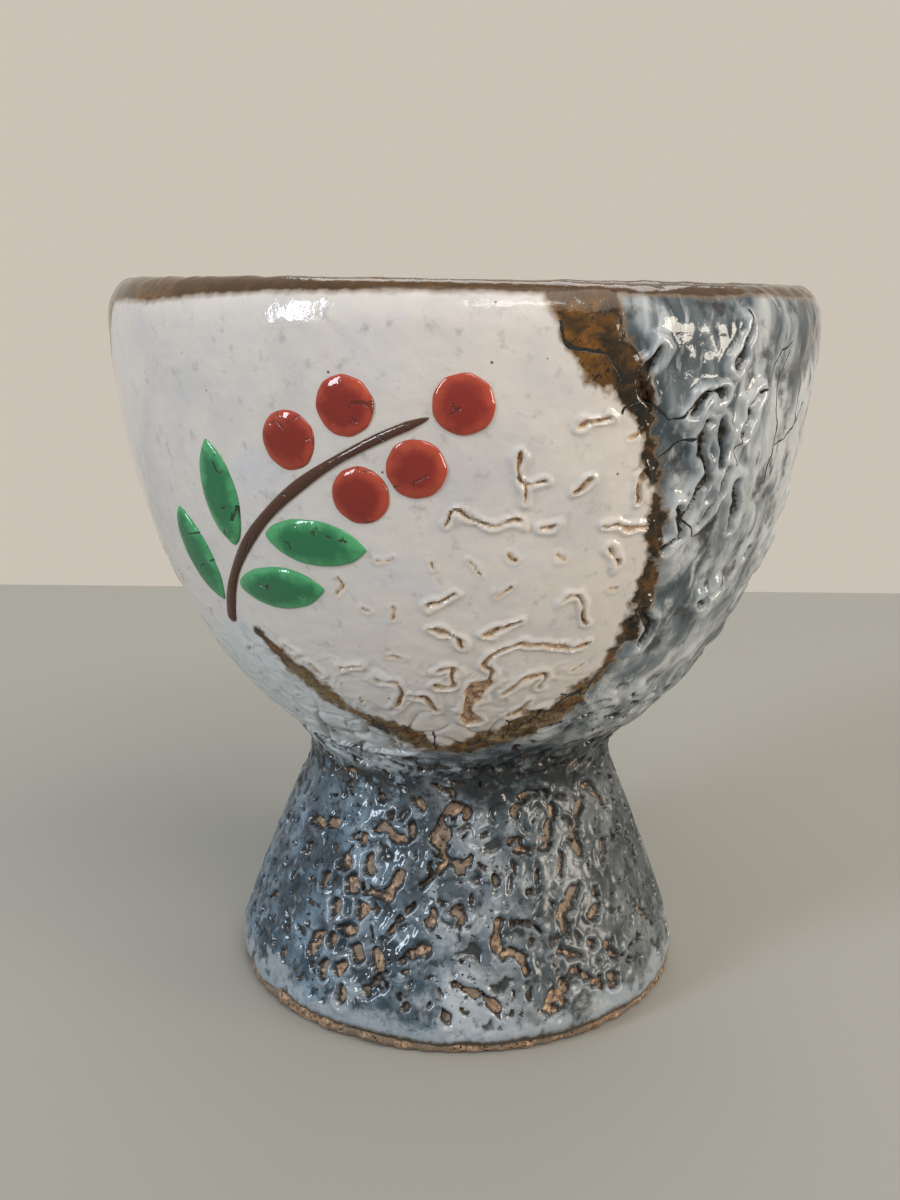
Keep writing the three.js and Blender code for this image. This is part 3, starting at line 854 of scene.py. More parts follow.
def grid_piece(name, columns, rows):
    """Adds a flat grid as the start of a piece. Gives it with each vertex's column and row value."""
    bpy.ops.mesh.primitive_grid_add(x_subdivisions=len(columns) - 1, y_subdivisions=len(rows) - 1, size=2)
    u, v = (part.ravel() for part in np.meshgrid(columns, rows))
    return new_piece(name), u, v


def set_shape(piece, places):
    piece.data.vertices.foreach_set("co", np.ascontiguousarray(places, np.float32).ravel())
    piece.data.update()


def paint_values(piece, **values):
    """Stores a value for each vertex, such as its distance to a gap in millimetres."""
    for name, value in values.items():
        layer = piece.data.attributes.new(name, "FLOAT", "POINT")
        layer.data.foreach_set("value", np.ascontiguousarray(value, np.float32))


def close_piece(piece, sharpest=78):
    """Merges the seams, fills open ends, points the faces outwards and smooths the surface."""
    bpy.ops.object.mode_set(mode="EDIT")
    bpy.ops.mesh.select_all(action="SELECT")
    bpy.ops.mesh.remove_doubles(threshold=MM / 500)
    bpy.ops.mesh.fill_holes(sides=0)
    bpy.ops.mesh.select_mode(type="VERT")
    bpy.ops.mesh.select_all(action="SELECT")
    bpy.ops.mesh.normals_make_consistent(inside=False)
    bpy.ops.mesh.select_all(action="DESELECT")
    bpy.ops.object.mode_set(mode="OBJECT")
    bpy.ops.object.shade_smooth_by_angle(angle=math.radians(sharpest))
    piece.select_set(False)


def glaze_layer(name, spot, columns, rows, thickness, surface, under_rows=8):
    """A closed layer of glaze. spot(u, v) gives angles and stations, and surface(angle, station) gives
    the lift of its face and what its finish reads. A plain underside closes it."""
    under = np.linspace(1, 0, under_rows)
    lifts = np.concatenate([np.zeros(len(rows)), np.full(under_rows, -thickness), [0]])
    piece, u, v = grid_piece(name, columns, np.concatenate([rows, under, rows[:1]]))
    lift = np.repeat(lifts, len(columns))
    face = lift == 0
    angle, station = spot(u, v)
    raised, read = surface(angle[face], station[face])
    lift[face] = raised
    set_shape(piece, skin(angle, station, lift))
    for key, value in read.items():
        full = np.full(len(angle), FAR)
        full[face] = value
        paint_values(piece, **{key: full / MM})
    close_piece(piece)
    return piece


def outside_surface(angle, station):
    """The relief of a glaze outside, and the distances that its finish reads."""
    iron, white_side = zones(angle, station)
    lift, gap = relief(angle, station, white_side)
    crack, beside = cracks_near(angle, station)
    return lift, {
        "gap": gap,
        "rise": lift,
        "iron": iron,
        "white_side": white_side,
        "crack": crack,
        "beside_crack": beside * MM,
    }


def smooth_surface(amount, size):
    """A face without gaps that only ripples softly."""
    def surface(angle, station):
        places = skin(angle, station)
        lift = amount * (ripple(places, size, 12) + 0.5 * ripple(places, size / 3, 13))
        return lift, {"gap": np.full(len(angle), FAR)}
    return surface


def field_spot(left, right, bottom):
    """Spots of a bowl glaze whose side edges are read by station and whose lower edge is read by angle."""
    def spot(u, v):
        station = field_base + v * field_height
        for _ in range(14):
            angle = left(station) + (right(station) - left(station)) * u
            low = bottom(angle)
            station = low + (field_top - low) * v
        return angle, station
    return spot


def ring_spot(start, end):
    """Spots all round the cup, from one station to another."""
    def spot(u, v):
        return -math.pi + 2 * math.pi * u, start + (end - start) * v
    return spot


def white_glaze():
    columns = spread([(-165, 0), (-97, 0.55 * MM), (-35, 0.26 * MM), (29, 0.18 * MM)])
    spot = field_spot(back_seam, white_right, white_bottom)
    rows = even(field_height, 0.2 * MM)
    return glaze_layer("white_glaze_coat", spot, columns, rows, GLAZE_THICKNESS, outside_surface)


def grey_glaze():
    columns = spread([(28, 0), (97, 0.2 * MM), (195, 0.5 * MM)])

    def right(station):
        return back_seam(station) + 2 * math.pi

    spot = field_spot(grey_left, right, foot_hem)
    rows = even(field_height, 0.2 * MM)
    return glaze_layer("grey_glaze_coat", spot, columns, rows, GLAZE_THICKNESS, outside_surface)


def iron_line():
    """The coat of the iron line, from its tip at the left to the patch under the lip."""
    def spot(u, v):
        return beside_iron(u, 2 * v - 1)

    columns = even(62 * MM, 0.2 * MM)
    rows = even(5 * MM, 0.2 * MM)
    return glaze_layer("iron_line_coat", spot, columns, rows, GLAZE_THICKNESS, outside_surface)


def foot_glaze():
    """The glaze of the foot. Its lower edge runs unevenly round the foot and rolls in to the clay."""
    columns = spread([(-180, 0), (-96, 0.5 * MM), (96, 0.29 * MM), (180, 0.5 * MM)])
    edge = station_at(BARE_EDGE - 0.5 * MM)

    def lower_edge_at(angle):
        ring = np.column_stack([np.sin(angle), np.cos(angle), 0 * angle]) * FOOT_RADIUS
        return edge + 0.4 * MM * ripple(ring, 4 * MM, 8) + 0.2 * MM * ripple(ring, 1 * MM, 9)

    def spot(u, v):
        angle = -math.pi + 2 * math.pi * u
        low = lower_edge_at(angle)
        return angle, low + (foot_hem(angle) - low) * v

    def surface(angle, station):
        lift, read = outside_surface(angle, station)
        roll = 1 - np.sqrt(np.clip((station - lower_edge_at(angle)) / (0.8 * MM), 0, 1))
        read["edge"] = station - lower_edge_at(angle)
        return lift - 0.6 * MM * roll, read

    rows = even(field_base - edge, 0.2 * MM)
    return glaze_layer("foot_glaze_coat", spot, columns, rows, GLAZE_THICKNESS, surface)


def rim_iron():
    """The iron over the lip: as uneven as the glazes outside, and softer as it runs in."""
    start = field_top
    end = station_inside(HEIGHT - RIM_IRON_INSIDE)

    def surface(angle, station):
        lift, read = outside_surface(angle, np.minimum(station, outline_station[crest]))
        inner = smooth(station, start, start + 1.5 * MM)
        soft = smooth_surface(0.1 * MM, 3 * MM)(angle, station)[0]
        read["gap"] = np.where(inner > 0.5, FAR, read["gap"])
        read["iron"] = np.full(len(angle), -FAR)
        return lift * (1 - inner) + soft * inner, read

    columns = even(2 * math.pi * RIM_RADIUS, 0.32 * MM)
    rows = even(end - start, 0.25 * MM)
    return glaze_layer("rim_iron_coat", ring_spot(start, end), columns, rows, LINING_THICKNESS, surface)


def lining_glaze():
    """The glaze inside, with the soft rings that the thrower's fingers left in the floor."""
    start = station_inside(HEIGHT - RIM_IRON_INSIDE)
    end = floor_station

    def surface(angle, station):
        lift = smooth_surface(0.06 * MM, 4 * MM)(angle, station)[0]
        join = smooth(station, start, start + 2 * MM)
        rings = np.sin((station - start) / (0.62 * MM) + angle)
        deep = smooth(station, start + 12 * MM, end) * (1 - smooth(station, end - 1.5 * MM, end))
        soft = smooth_surface(0.1 * MM, 3 * MM)(angle, station)[0]
        return (lift + 0.09 * MM * rings * deep) * join + soft * (1 - join), {"iron": station - start}

    columns = even(2 * math.pi * RIM_RADIUS, 0.7 * MM)
    rows = even(end - start, 0.42 * MM)
    return glaze_layer("lining_glaze_coat", ring_spot(start, end), columns, rows, LINING_THICKNESS, surface)


def foot_clay():
    """The bare clay of the foot: a domed hollow, a worn standing ring and the wall under the glaze."""
    ring_inside = STAND_RADIUS - FOOT_RING_WIDTH
    top_height = JOIN_HEIGHT - 0.5 * MM
    bevel = 0.35 * MM
    hollow = bezier(
        (0, FOOT_HOLLOW_HEIGHT),
        (FOOT_HOLLOW_CROWN, FOOT_HOLLOW_HEIGHT),
        (ring_inside, FOOT_HOLLOW_REACH),
        (ring_inside, 0.3 * MM),
        count=60,
    )
    bare = np.linspace(0.25 * MM, station_at(BARE_EDGE + 0.6 * MM), 7)
    wall = np.linspace(bare[-1] + 0.5 * MM, station_at(JOIN_HEIGHT - CLAY_DEPTH / 2), 30)
    profile = np.vstack([
        hollow,
        np.linspace((ring_inside + bevel, 0), (STAND_RADIUS - bevel, 0), 14),
        np.column_stack(off_outline(bare, -0.35 * MM * smooth(bare, 0.6 * MM, bare[-1]))),
        np.column_stack(off_outline(wall, -CLAY_DEPTH)),
        [(0, top_height)],
    ])
    profile[:, 1] = np.minimum(profile[:, 1], top_height)
    columns = np.linspace(-math.pi, math.pi, 481)
    piece, angle, index = grid_piece("foot_clay", columns, np.arange(len(profile)))
    index = index.astype(int)
    radius, height = profile[index].T
    places = around(angle, radius, height)
    coarse = 0.16 * MM * ripple(places, 1.6 * MM, 20) + 0.1 * MM * ripple(places, 0.6 * MM, 21)
    edge = 0.3 * MM * ripple(places, 1.1 * MM, 22) * np.exp(-((height - 0.5 * MM) / (0.8 * MM)) ** 2)
    inner = index < len(hollow)
    outward = np.where(inner, -1, 1) * (coarse + edge * (radius > ring_inside + 3 * MM))
    radius = radius + outward * np.minimum(1, radius / (3 * MM))
    dent = np.abs(coarse) * 0.8 + np.where(inner, coarse, 0)
    set_shape(piece, around(angle, radius, np.maximum(height + dent, 0)))
    close_piece(piece)
    return piece


# Enamels: raised brushwork laid over the white glaze
SPRIG_ANGLE = math.radians(-46)
SPRIG_DROP = 27.5 * MM
STEM = [(0, 0), (7 * MM, 13 * MM), (22 * MM, 19 * MM)]
STEM_WIDTH = 1.1 * MM
STEM_TIP_WIDTH = 0.7 * MM
ENAMEL_HEIGHT = 0.42 * MM
ENAMEL_SINK = 0.1 * MM
LEAF_LENGTH = 8.6 * MM
LEAF_WIDTH = 3.8 * MM
LEAF_SPREAD = math.radians(48)
LEAF_COUNT = 4
FIRST_LEAF = 2 * MM
LEAF_PITCH = 3.5 * MM
SEAT_GAP = 0.25 * MM
BERRY_RADIUS = 2.2 * MM
BERRY_PITCH = 2 * BERRY_RADIUS + 0.6 * MM
SIDE_BERRIES = 4

stem_points = bezier(*STEM, count=400)
stem_reach = distances(stem_points)
stem_length = stem_reach[-1]
sprig_station = station_at(HEIGHT - 1 * MM) - SPRIG_DROP
sprig_radius = radius_at(sprig_station + STEM[1][1])


def beside_stem(along, left):
    """The spot beside the stem at a distance along it and to its left, and the stem's direction there."""
    point, ahead, behind = (
        np.array([np.interp(along + step, stem_reach, stem_points[:, k]) for k in range(2)])
        for step in (0, 0.1 * MM, -0.1 * MM)
    )
    tangent = (ahead - behind) / np.linalg.norm(ahead - behind, axis=0)
    angle = SPRIG_ANGLE + (point[0] - tangent[1] * left) / sprig_radius
    station = sprig_station + point[1] + tangent[0] * left
    return angle, station, np.arctan2(tangent[1], tangent[0])


def glaze_under(angle, station):
    """The height of the glaze under an enamel, without the gaps' edges."""
    return 0.035 * MM * ripple(skin(angle, station), 3.4 * MM, 3)


def enamel_pad(name, half_width, length, centre, turn, seed):
    """A raised drop of enamel, shaped from a ball: half_width(x) is its outline along its length."""
    bpy.ops.mesh.primitive_uv_sphere_add(segments=96, ring_count=40, radius=1)
    piece = new_piece(name)
    ball = np.array([vertex.co for vertex in piece.data.vertices])
    reach = np.minimum(1, np.hypot(ball[:, 0], ball[:, 1]))
    heading = np.arctan2(ball[:, 1], ball[:, 0])
    wobble = 1 + 0.05 * ripple(np.column_stack([np.cos(heading), np.sin(heading), 0 * heading]), 0.5, seed)
    x = reach * np.cos(heading) * length / 2 * wobble
    y = reach * np.sin(heading) * half_width(x / (length / 2)) * wobble
    right = x * math.cos(turn) - y * math.sin(turn)
    up = x * math.sin(turn) + y * math.cos(turn)
    angle = centre[0] + right / radius_at(centre[1])
    station = centre[1] + up
    face = ball[:, 2] > 0
    crown = ENAMEL_HEIGHT * (1 - reach**3) ** 0.5 * (1 + 0.25 * np.cos(heading - seed) * reach)
    lift = np.where(face, crown, -ENAMEL_SINK * np.abs(ball[:, 2]) ** 0.3)
    pooled = 0.05 * MM * ripple(skin(angle, station), 1.2 * MM, seed)
    lift = glaze_under(angle, station) + lift + np.where(face, pooled * (1 - reach), 0)
    set_shape(piece, skin(angle, station, lift))
    paint_values(piece, inward=1 - reach)
    close_piece(piece)
    return piece


def stem_enamel():
    """The stem's brush stroke: a rounded strip that starts full and lifts off thin."""
    piece, u, turn = grid_piece("stem_enamel", even(stem_length, 0.2 * MM), np.linspace(0, 2 * math.pi, 33))
    start = np.sqrt(np.clip(u * stem_length / (0.6 * MM), 0, 1))
    tip = np.sqrt(np.clip((1 - u) * stem_length / (1.6 * MM), 0, 1))
    rounding = start * tip
    brush = 1 + 0.16 * np.sin(17 * u + 1) * np.sin(7 * u)
    half = (STEM_WIDTH + (STEM_TIP_WIDTH - STEM_WIDTH) * u) / 2 * brush * rounding
    angle, station, _ = beside_stem(u * stem_length, half * np.cos(turn))
    rise = np.sin(turn)
    lift = np.where(rise > 0, ENAMEL_HEIGHT * 0.75 * rise, ENAMEL_SINK * rise) * np.maximum(rounding, 0.02)
    set_shape(piece, skin(angle, station, glaze_under(angle, station) + lift))
    paint_values(piece, inward=np.clip(rise, 0, 1))
    close_piece(piece)
    return piece


def moved_by(centre, distance, direction):
    """A spot that lies a distance away from another in a direction on the glaze."""
    angle, station = centre
    return (
        angle + distance * math.cos(direction) / radius_at(station),
        station + distance * math.sin(direction),
    )


def leaf_enamel(number, along, side):
    def half_width(share):
        return LEAF_WIDTH / 2 * (1 - np.abs(share) ** 2.2) ** 0.8 / np.sqrt(np.maximum(1 - share**2, 0.02))

    angle, station, direction = beside_stem(along, side * (STEM_WIDTH / 2 + SEAT_GAP))
    turn = direction + side * LEAF_SPREAD
    centre = moved_by((angle, station), LEAF_LENGTH / 2, turn)
    return enamel_pad(f"leaf_enamel_{number}", half_width, LEAF_LENGTH, centre, turn, number)


def berry_enamel(number, along, side):
    def half_width(share):
        return BERRY_RADIUS * np.ones_like(share)

    angle, station, direction = beside_stem(along, side * (STEM_WIDTH + BERRY_PITCH) / 2)
    centre = (angle, station)
    if side == 0:
        centre = moved_by(centre, BERRY_PITCH / 2, direction)
    return enamel_pad(f"berry_enamel_{number}", half_width, 2 * BERRY_RADIUS, centre, 0, 10 + number)


# Finishes
def shade(red, green, blue):
    """A colour as a screen shows it, from 0 to 255, turned into light."""
    values = [value / 255 for value in (red, green, blue)]
    return tuple(v / 12.92 if v <= 0.04045 else ((v + 0.055) / 1.055) ** 2.4 for v in values)


# Colours of the clay and the glazes. A list is a ramp: values of a pattern, each with its colour.
CLAY = [
    (0.34, shade(52, 40, 32)),
    (0.44, shade(118, 92, 71)),
    (0.54, shade(163, 131, 101)),
    (0.66, shade(202, 176, 147)),
]
CLAY_DULL = shade(126, 108, 91)
CLAY_GRIT = shade(46, 35, 27)
WHITE = [(0.3, shade(187, 183, 182)), (0.55, shade(201, 194, 187)), (0.75, shade(191, 188, 191))]
WHITE_GREY = shade(172, 167, 164)
WHITE_PINHOLE = shade(96, 82, 72)
WHITE_CREAM = shade(200, 182, 160)
WHITE_GAP = [(0.36, shade(96, 68, 48)), (0.47, shade(162, 128, 98)), (0.6, shade(202, 174, 146))]
WHITE_STREAK = shade(140, 146, 148)
WHITE_COOL = (0.93, 1.0, 1.04)
STREAKED = [
    (0.38, (0.035, 0.05, 0.06)),
    (0.46, (0.1, 0.125, 0.14)),
    (0.53, (0.23, 0.255, 0.27)),
    (0.64, (0.45, 0.47, 0.475)),
]
WISP_PALE = (0.46, 0.48, 0.49)
WISP_DARK = (0.06, 0.078, 0.09)
MOTTLED = [
    (0.36, (0.024, 0.04, 0.052)),
    (0.45, (0.062, 0.086, 0.105)),
    (0.53, (0.135, 0.165, 0.19)),
    (0.64, (0.27, 0.3, 0.325)),
]
BLOT_DARK = (0.022, 0.034, 0.042)
BLOT_PALE = (0.3, 0.33, 0.365)
FOOT_SPECK = (0.014, 0.016, 0.018)
# Painted light and shade on the foot: bluer and darker on its left, brighter at the front, darker and warmer
# on its right
FOOT_SIDE_LIGHT = [(0.1, (0.62, 0.79, 0.92)), (0.5, (1.15, 1.14, 1.12)), (0.9, (0.56, 0.54, 0.49))]
FOOT_BAND = (0.3, 0.335, 0.365)
FOOT_ROLL = (0.042, 0.028, 0.017)
WAIST_SHADOW = (0.008, 0.011, 0.014)
WAIST_PALE = (0.4, 0.44, 0.46)
SLATE_CREST = (0.3, 0.33, 0.37)
# Whiter ridges: thick glaze, with a painted highlight on them too
SLATE_RIDGE_AND_HIGHLIGHT = (0.52, 0.54, 0.54)
SLATE_HOLLOW = (0.013, 0.015, 0.017)
# Painted shade, dark brown, where the glaze drops into a gap
SLATE_GAP_SHADE = (0.026, 0.018, 0.012)
CRACK = (0.012, 0.012, 0.011)
IRON = [
    (0.3, (0.008, 0.005, 0.002)),
    (0.42, (0.035, 0.017, 0.003)),
    (0.54, (0.1, 0.04, 0.004)),
    (0.7, (0.21, 0.088, 0.01)),
]
IRON_OLIVE = (0.15, 0.1, 0.042)
IRON_THIN = (0.27, 0.18, 0.1)
IRON_SPECK = (0.01, 0.008, 0.005)
IRON_RIM = (0.06, 0.031, 0.013)
IRON_STAIN = (0.17, 0.115, 0.065)
LINING = [(0.3, shade(150, 152, 150)), (0.55, shade(178, 174, 166)), (0.75, shade(186, 180, 170))]
LINING_CRAZE = shade(110, 96, 80)
LINING_FLECK = shade(88, 62, 40)
LINING_STAIN = (0.2, 0.14, 0.075)
ENAMEL_MARK = (0.01, 0.012, 0.01)

# Each enamel's colour where it lies thin and where it lies thick, and how dark its marks are
ENAMELS = {
    "brown_enamel": ((0.16, 0.06, 0.03), (0.06, 0.022, 0.012), 0.6),
    "green_enamel": ((0.06, 0.3, 0.12), (0.012, 0.13, 0.05), 0.9),
    "red_enamel": ((0.36, 0.05, 0.024), (0.2, 0.014, 0.009), 0.5),
}

# How rough and how glassy the surfaces are
CLAY_ROUGHNESS = 0.86
BARED_ROUGHNESS = 0.6
LINING_ROUGHNESS = 0.14
ENAMEL_ROUGHNESS = 0.07
GLAZE_IOR = 1.52
ENAMEL_IOR = 1.55


class Finish:
    """A finish built up node by node. Patterns are laid out in millimetres on the cup."""

    def __init__(self, name):
        self.material = bpy.data.materials.new(name)
        self.material.use_nodes = True
        self.nodes = self.material.node_tree.nodes
        self.links = self.material.node_tree.links
        self.shader = self.nodes["Principled BSDF"]
        place = self.node("TexCoord").outputs["Object"]
        self.place = self.node("Mapping", Vector=place, Scale=(1 / MM, 1 / MM, 1 / MM)).outputs[0]
        self.right, _, self.height = self.node("SeparateXYZ", Vector=self.place).outputs

    def feed(self, socket, value):
        """Links a node's output to a socket, or sets the socket to a number or a colour."""
        if isinstance(value, bpy.types.NodeSocket):
            self.links.new(value, socket)
        else:
            socket.default_value = (*value, 1) if socket.type == "RGBA" else value

    def node(self, kind, settings=None, **inputs):
        made = self.nodes.new("ShaderNode" + kind)
        for name, value in (settings or {}).items():
            setattr(made, name, value)
        for name, value in inputs.items():
            self.feed(made.inputs[name.replace("_", " ")], value)
        return made

    def attribute(self, name):
        return self.node("Attribute", {"attribute_name": name}).outputs["Fac"]

    def clouds(self, size, detail=4.0, roughness=0.55, distortion=0.0, place=None):
        inputs = {"Scale": 1 / size, "Detail": detail, "Roughness": roughness, "Distortion": distortion}
        return self.node("TexNoise", Vector=place or self.place, **inputs).outputs[0]

    def cells(self, size, feature="F1"):
        return self.node("TexVoronoi", {"feature": feature}, Vector=self.place, Scale=1 / size)

    def dots(self, size, edge, chosen):
        """Round dots in some of the cells of a size."""
        cells = self.cells(size)
        pick = self.node("SeparateColor", Color=cells.outputs["Color"]).outputs[0]
        return self.times(self.fade(cells.outputs["Distance"], *edge), self.fade(pick, *chosen))

    def fade(self, value, start, end):
        """0 at start and 1 at end, with a soft step between."""
        soft = {"interpolation_type": "SMOOTHSTEP"}
        return self.node("MapRange", soft, Value=value, From_Min=start, From_Max=end).outputs[0]

    def worked_out(self, how, *values):
        made = self.node("Math", {"operation": how})
        for socket, value in zip(made.inputs, values):
            self.feed(socket, value)
        return made.outputs[0]

    def plus(self, first, second):
        return self.worked_out("ADD", first, second)

    def minus(self, first, second):
        return self.worked_out("SUBTRACT", first, second)

    def times(self, first, *factors):
        for factor in factors:
            first = self.worked_out("MULTIPLY", first, factor)
        return first

    def times_plus(self, first, second, third):
        return self.worked_out("MULTIPLY_ADD", first, second, third)

    def frayed(self, distance, amount, size=0.5):
        """A distance in millimetres made uneven by an amount."""
        return self.times_plus(self.minus(self.clouds(size, 4, 0.6), 0.5), amount, distance)

    def mix(self, share, first, second, how="MIX"):
        """Mixes two colours."""
        made = self.node("Mix", {"data_type": "RGBA", "blend_type": how})
        for socket, value in zip((0, 6, 7), (share, first, second)):
            self.feed(made.inputs[socket], value)
        return made.outputs[2]

    def blend(self, share, first, second):
        """Mixes two plain values, such as roughnesses."""
        made = self.node("Mix", {"data_type": "FLOAT"})
        for socket, value in zip((0, 2, 3), (share, first, second)):
            self.feed(made.inputs[socket], value)
        return made.outputs[0]

    def lay(self, colour, over, value, start, end, strength=1.0):
        """Lays a second colour over the first, where a value fades in from start to end."""
        share = self.fade(value, start, end)
        return self.mix(share if strength == 1.0 else self.times(share, strength), colour, over)

    def ramp(self, value, stops):
        made = self.node("ValToRGB", Fac=value)
        elements = made.color_ramp.elements
        while len(elements) < len(stops):
            elements.new(0.5)
        for element, (place, colour) in zip(elements, stops):
            element.position = place
            element.color = (*colour, 1)
        return made.outputs["Color"]

    def bump(self, height, distance):
        made = self.node("Bump", Height=height, Strength=1.0, Distance=distance)
        self.feed(self.shader.inputs["Normal"], made.outputs[0])

    def done(self, colour, roughness, **constants):
        self.feed(self.shader.inputs["Base Color"], colour)
        self.feed(self.shader.inputs["Roughness"], roughness)
        for name, value in constants.items():
            self.shader.inputs[name.replace("_", " ")].default_value = value
        return self.material


def clay_colour(finish):
    """Sandy stoneware: pale grains on brown, dull patches and dark grit."""
    colour = finish.ramp(finish.clouds(0.42, 5, 0.65), CLAY)
    colour = finish.lay(colour, CLAY_DULL, finish.clouds(2.2, 3), 0.4, 0.6)
    return finish.lay(colour, CLAY_GRIT, finish.cells(0.6).outputs["Distance"], 0.24, 0.14)


def clay_finish():
    finish = Finish("stoneware_clay")
    finish.bump(finish.plus(finish.clouds(0.5, 6, 0.7), finish.clouds(2.5, 3)), 0.25 * MM)
    return finish.done(clay_colour(finish), CLAY_ROUGHNESS)


def white_colour(finish, gap):
    """Milky white: faint clouds, grey pinholes, cream then brown beside gaps, cooler at the lower left."""
    colour = finish.ramp(finish.clouds(7, 3), WHITE)
    colour = finish.lay(colour, WHITE_GREY, finish.clouds(1.3, 5, 0.6), 0.56, 0.74)
    colour = finish.mix(finish.dots(1.9, (0.075, 0.035), (0.74, 0.78)), colour, WHITE_PINHOLE)
    colour = finish.lay(colour, WHITE_CREAM, gap, 0.2, 0.0)
    bottom = finish.ramp(finish.clouds(0.5, 4, 0.7), WHITE_GAP)
    colour = finish.lay(colour, bottom, finish.frayed(gap, 0.24), 0.03, -0.07)
    leftward = finish.worked_out("MAXIMUM", finish.right, -16.0)
    level = finish.times_plus(leftward, 0.68, finish.frayed(finish.height, 7.0, 6.0))
    below = finish.fade(level, 28.4, 25)
    streaks = finish.fade(finish.clouds(1.7, 4, 0.6, 0.8), 0.5, 0.68)
    colour = finish.mix(finish.times(below, streaks, 0.6), colour, WHITE_STREAK)
    grey = finish.node("RGBToBW", Color=colour).outputs[0]
    cool = finish.mix(1.0, grey, WHITE_COOL, "MULTIPLY")
    return finish.mix(finish.times(below, 0.8), colour, cool)


def streaked_slate(finish, wisps, steep):
    """The bowl's blue-grey: steep streaks, paler to the right and darker under the lip."""
    height = finish.height
    middle = finish.times(finish.fade(height, 63, 56), finish.fade(height, 33, 42))
    paler = finish.times(middle, finish.fade(finish.right, 17, 26), 0.15)
    bias = finish.minus(paler, finish.times(finish.fade(height, 55, 61), 0.06))
    colour = finish.ramp(finish.plus(finish.clouds(5, 3, 0.5, 1.0, steep), bias), STREAKED)
    colour = finish.lay(colour, WISP_PALE, wisps, 0.52, 0.74)
    return finish.lay(colour, WISP_DARK, wisps, 0.42, 0.28)


def mottled_slate(finish):
    """The foot's blue-grey: mottled and speckled, pale at its base and in shadow at the waist."""
    height = finish.height
    blots = finish.clouds(1.6, 4, 0.62, 0.5)
    colour = finish.ramp(finish.clouds(6, 4, 0.6, 0.6), MOTTLED)
    colour = finish.lay(colour, BLOT_DARK, blots, 0.45, 0.34)
    colour = finish.lay(colour, BLOT_PALE, blots, 0.54, 0.68, 0.7)
    colour = finish.lay(colour, FOOT_SPECK, finish.clouds(0.45, 3, 0.6), 0.4, 0.33)
    # Painted light and shade: the foot brighter at the front, bluer and darker to the left, warmer and
    # darker to the right
    sides = finish.ramp(finish.fade(finish.right, -17, 17), FOOT_SIDE_LIGHT)
    colour = finish.mix(1.0, colour, sides, "MULTIPLY")
    colour = finish.lay(colour, FOOT_BAND, finish.frayed(height, 14, 3), 4.4, 2.2, 0.75)
    waist = finish.times(finish.fade(height, 18.5, 22.5), finish.fade(height, 28, 25))
    shadow = finish.times(waist, finish.fade(finish.clouds(1.3, 4, 0.6), 0.66, 0.53), 0.95)
    colour = finish.mix(shadow, colour, WAIST_SHADOW)
    left = finish.times(finish.fade(height, 22.6, 24.4), finish.fade(finish.right, -1, -7))
    pale = finish.times(left, finish.fade(finish.clouds(1.7, 4, 0.6, 0.8), 0.38, 0.56))
    return finish.mix(pale, colour, WAIST_PALE)


def slate_colour(finish, gap, rise):
    """Blue-grey: streaked on the bowl, mottled on the foot, pale on its bumps, near black in its hollows."""
    foot = finish.fade(finish.height, 30, 26)
    steep = finish.node("Mapping", Vector=finish.place, Scale=(1, 1, 0.38)).outputs[0]
    wisps = finish.clouds(1.2, 5, 0.6, 0.5, steep)
    colour = finish.mix(foot, streaked_slate(finish, wisps, steep), mottled_slate(finish))
    level = finish.frayed(rise, 0.45, 0.9)
    colour = finish.lay(colour, SLATE_CREST, level, 0.08, 0.42, 0.5)
    # Ridges painted whiter where the glaze lies thick, partly as thick opaque glaze and partly as a painted
    # highlight
    thick = finish.times(finish.fade(level, 0.26, 0.56), finish.fade(wisps, 0.36, 0.6))
    ridge_and_highlight = finish.times(thick, finish.blend(foot, 0.62, 0.0))
    colour = finish.mix(ridge_and_highlight, colour, SLATE_RIDGE_AND_HIGHLIGHT)
    colour = finish.lay(colour, SLATE_HOLLOW, level, 0.0, -0.22, 0.92)
    bottom = finish.frayed(gap, 0.6, 0.4)
    # Painted shade: dark brown at the glaze's edge where it drops into a gap
    colour = finish.lay(colour, SLATE_GAP_SHADE, bottom, 0.12, 0.0)
    bare = finish.times(finish.fade(bottom, -0.08, -0.2), finish.blend(foot, 0.35, 0.95))
    return finish.mix(bare, colour, clay_colour(finish))


def iron_colour(finish):
    """Mottled iron: ochre where thin, olive low down, near black where it pooled and down the line."""
    height = finish.height
    line = finish.times(finish.fade(height, 62, 57), finish.fade(height, 33, 37), 0.05)
    right = finish.times(finish.fade(finish.right, 8, 15), 0.06)
    slow = finish.times(finish.minus(finish.clouds(9, 2), 0.5), 0.5)
    pools = finish.minus(finish.clouds(1.9, 5, 0.6, 0.9), finish.plus(line, right))
    colour = finish.ramp(finish.plus(pools, slow), IRON)
    low = finish.fade(height, 36.5, 33)
    olive = finish.times(low, finish.fade(finish.clouds(2.2, 4), 0.36, 0.6))
    colour = finish.mix(olive, colour, IRON_OLIVE)
    thin = finish.times(low, finish.fade(finish.clouds(1.3, 4, 0.6), 0.53, 0.66), 0.7)
    colour = finish.mix(thin, colour, IRON_THIN)
    colour = finish.lay(colour, IRON_SPECK, finish.clouds(0.35, 3, 0.6), 0.44, 0.33)
    return finish.lay(colour, IRON_RIM, height, 63.9, 65.2, 0.75)


def brushed_iron(finish):
    """How far spots lie outside the iron, with a fringe and breaks along the line below the patch."""
    below = finish.fade(finish.height, 61, 57)
    breaks = finish.times(finish.plus(finish.frayed(0.0, 2.6, 3.2), 0.15), below)
    fringe = finish.minus(finish.clouds(1.1, 2.5, 0.5), 0.5)
    uneven = finish.blend(finish.fade(finish.height, 62, 64), 1.9, 0.6)
    return finish.plus(finish.times_plus(fringe, uneven, finish.attribute("iron")), breaks)


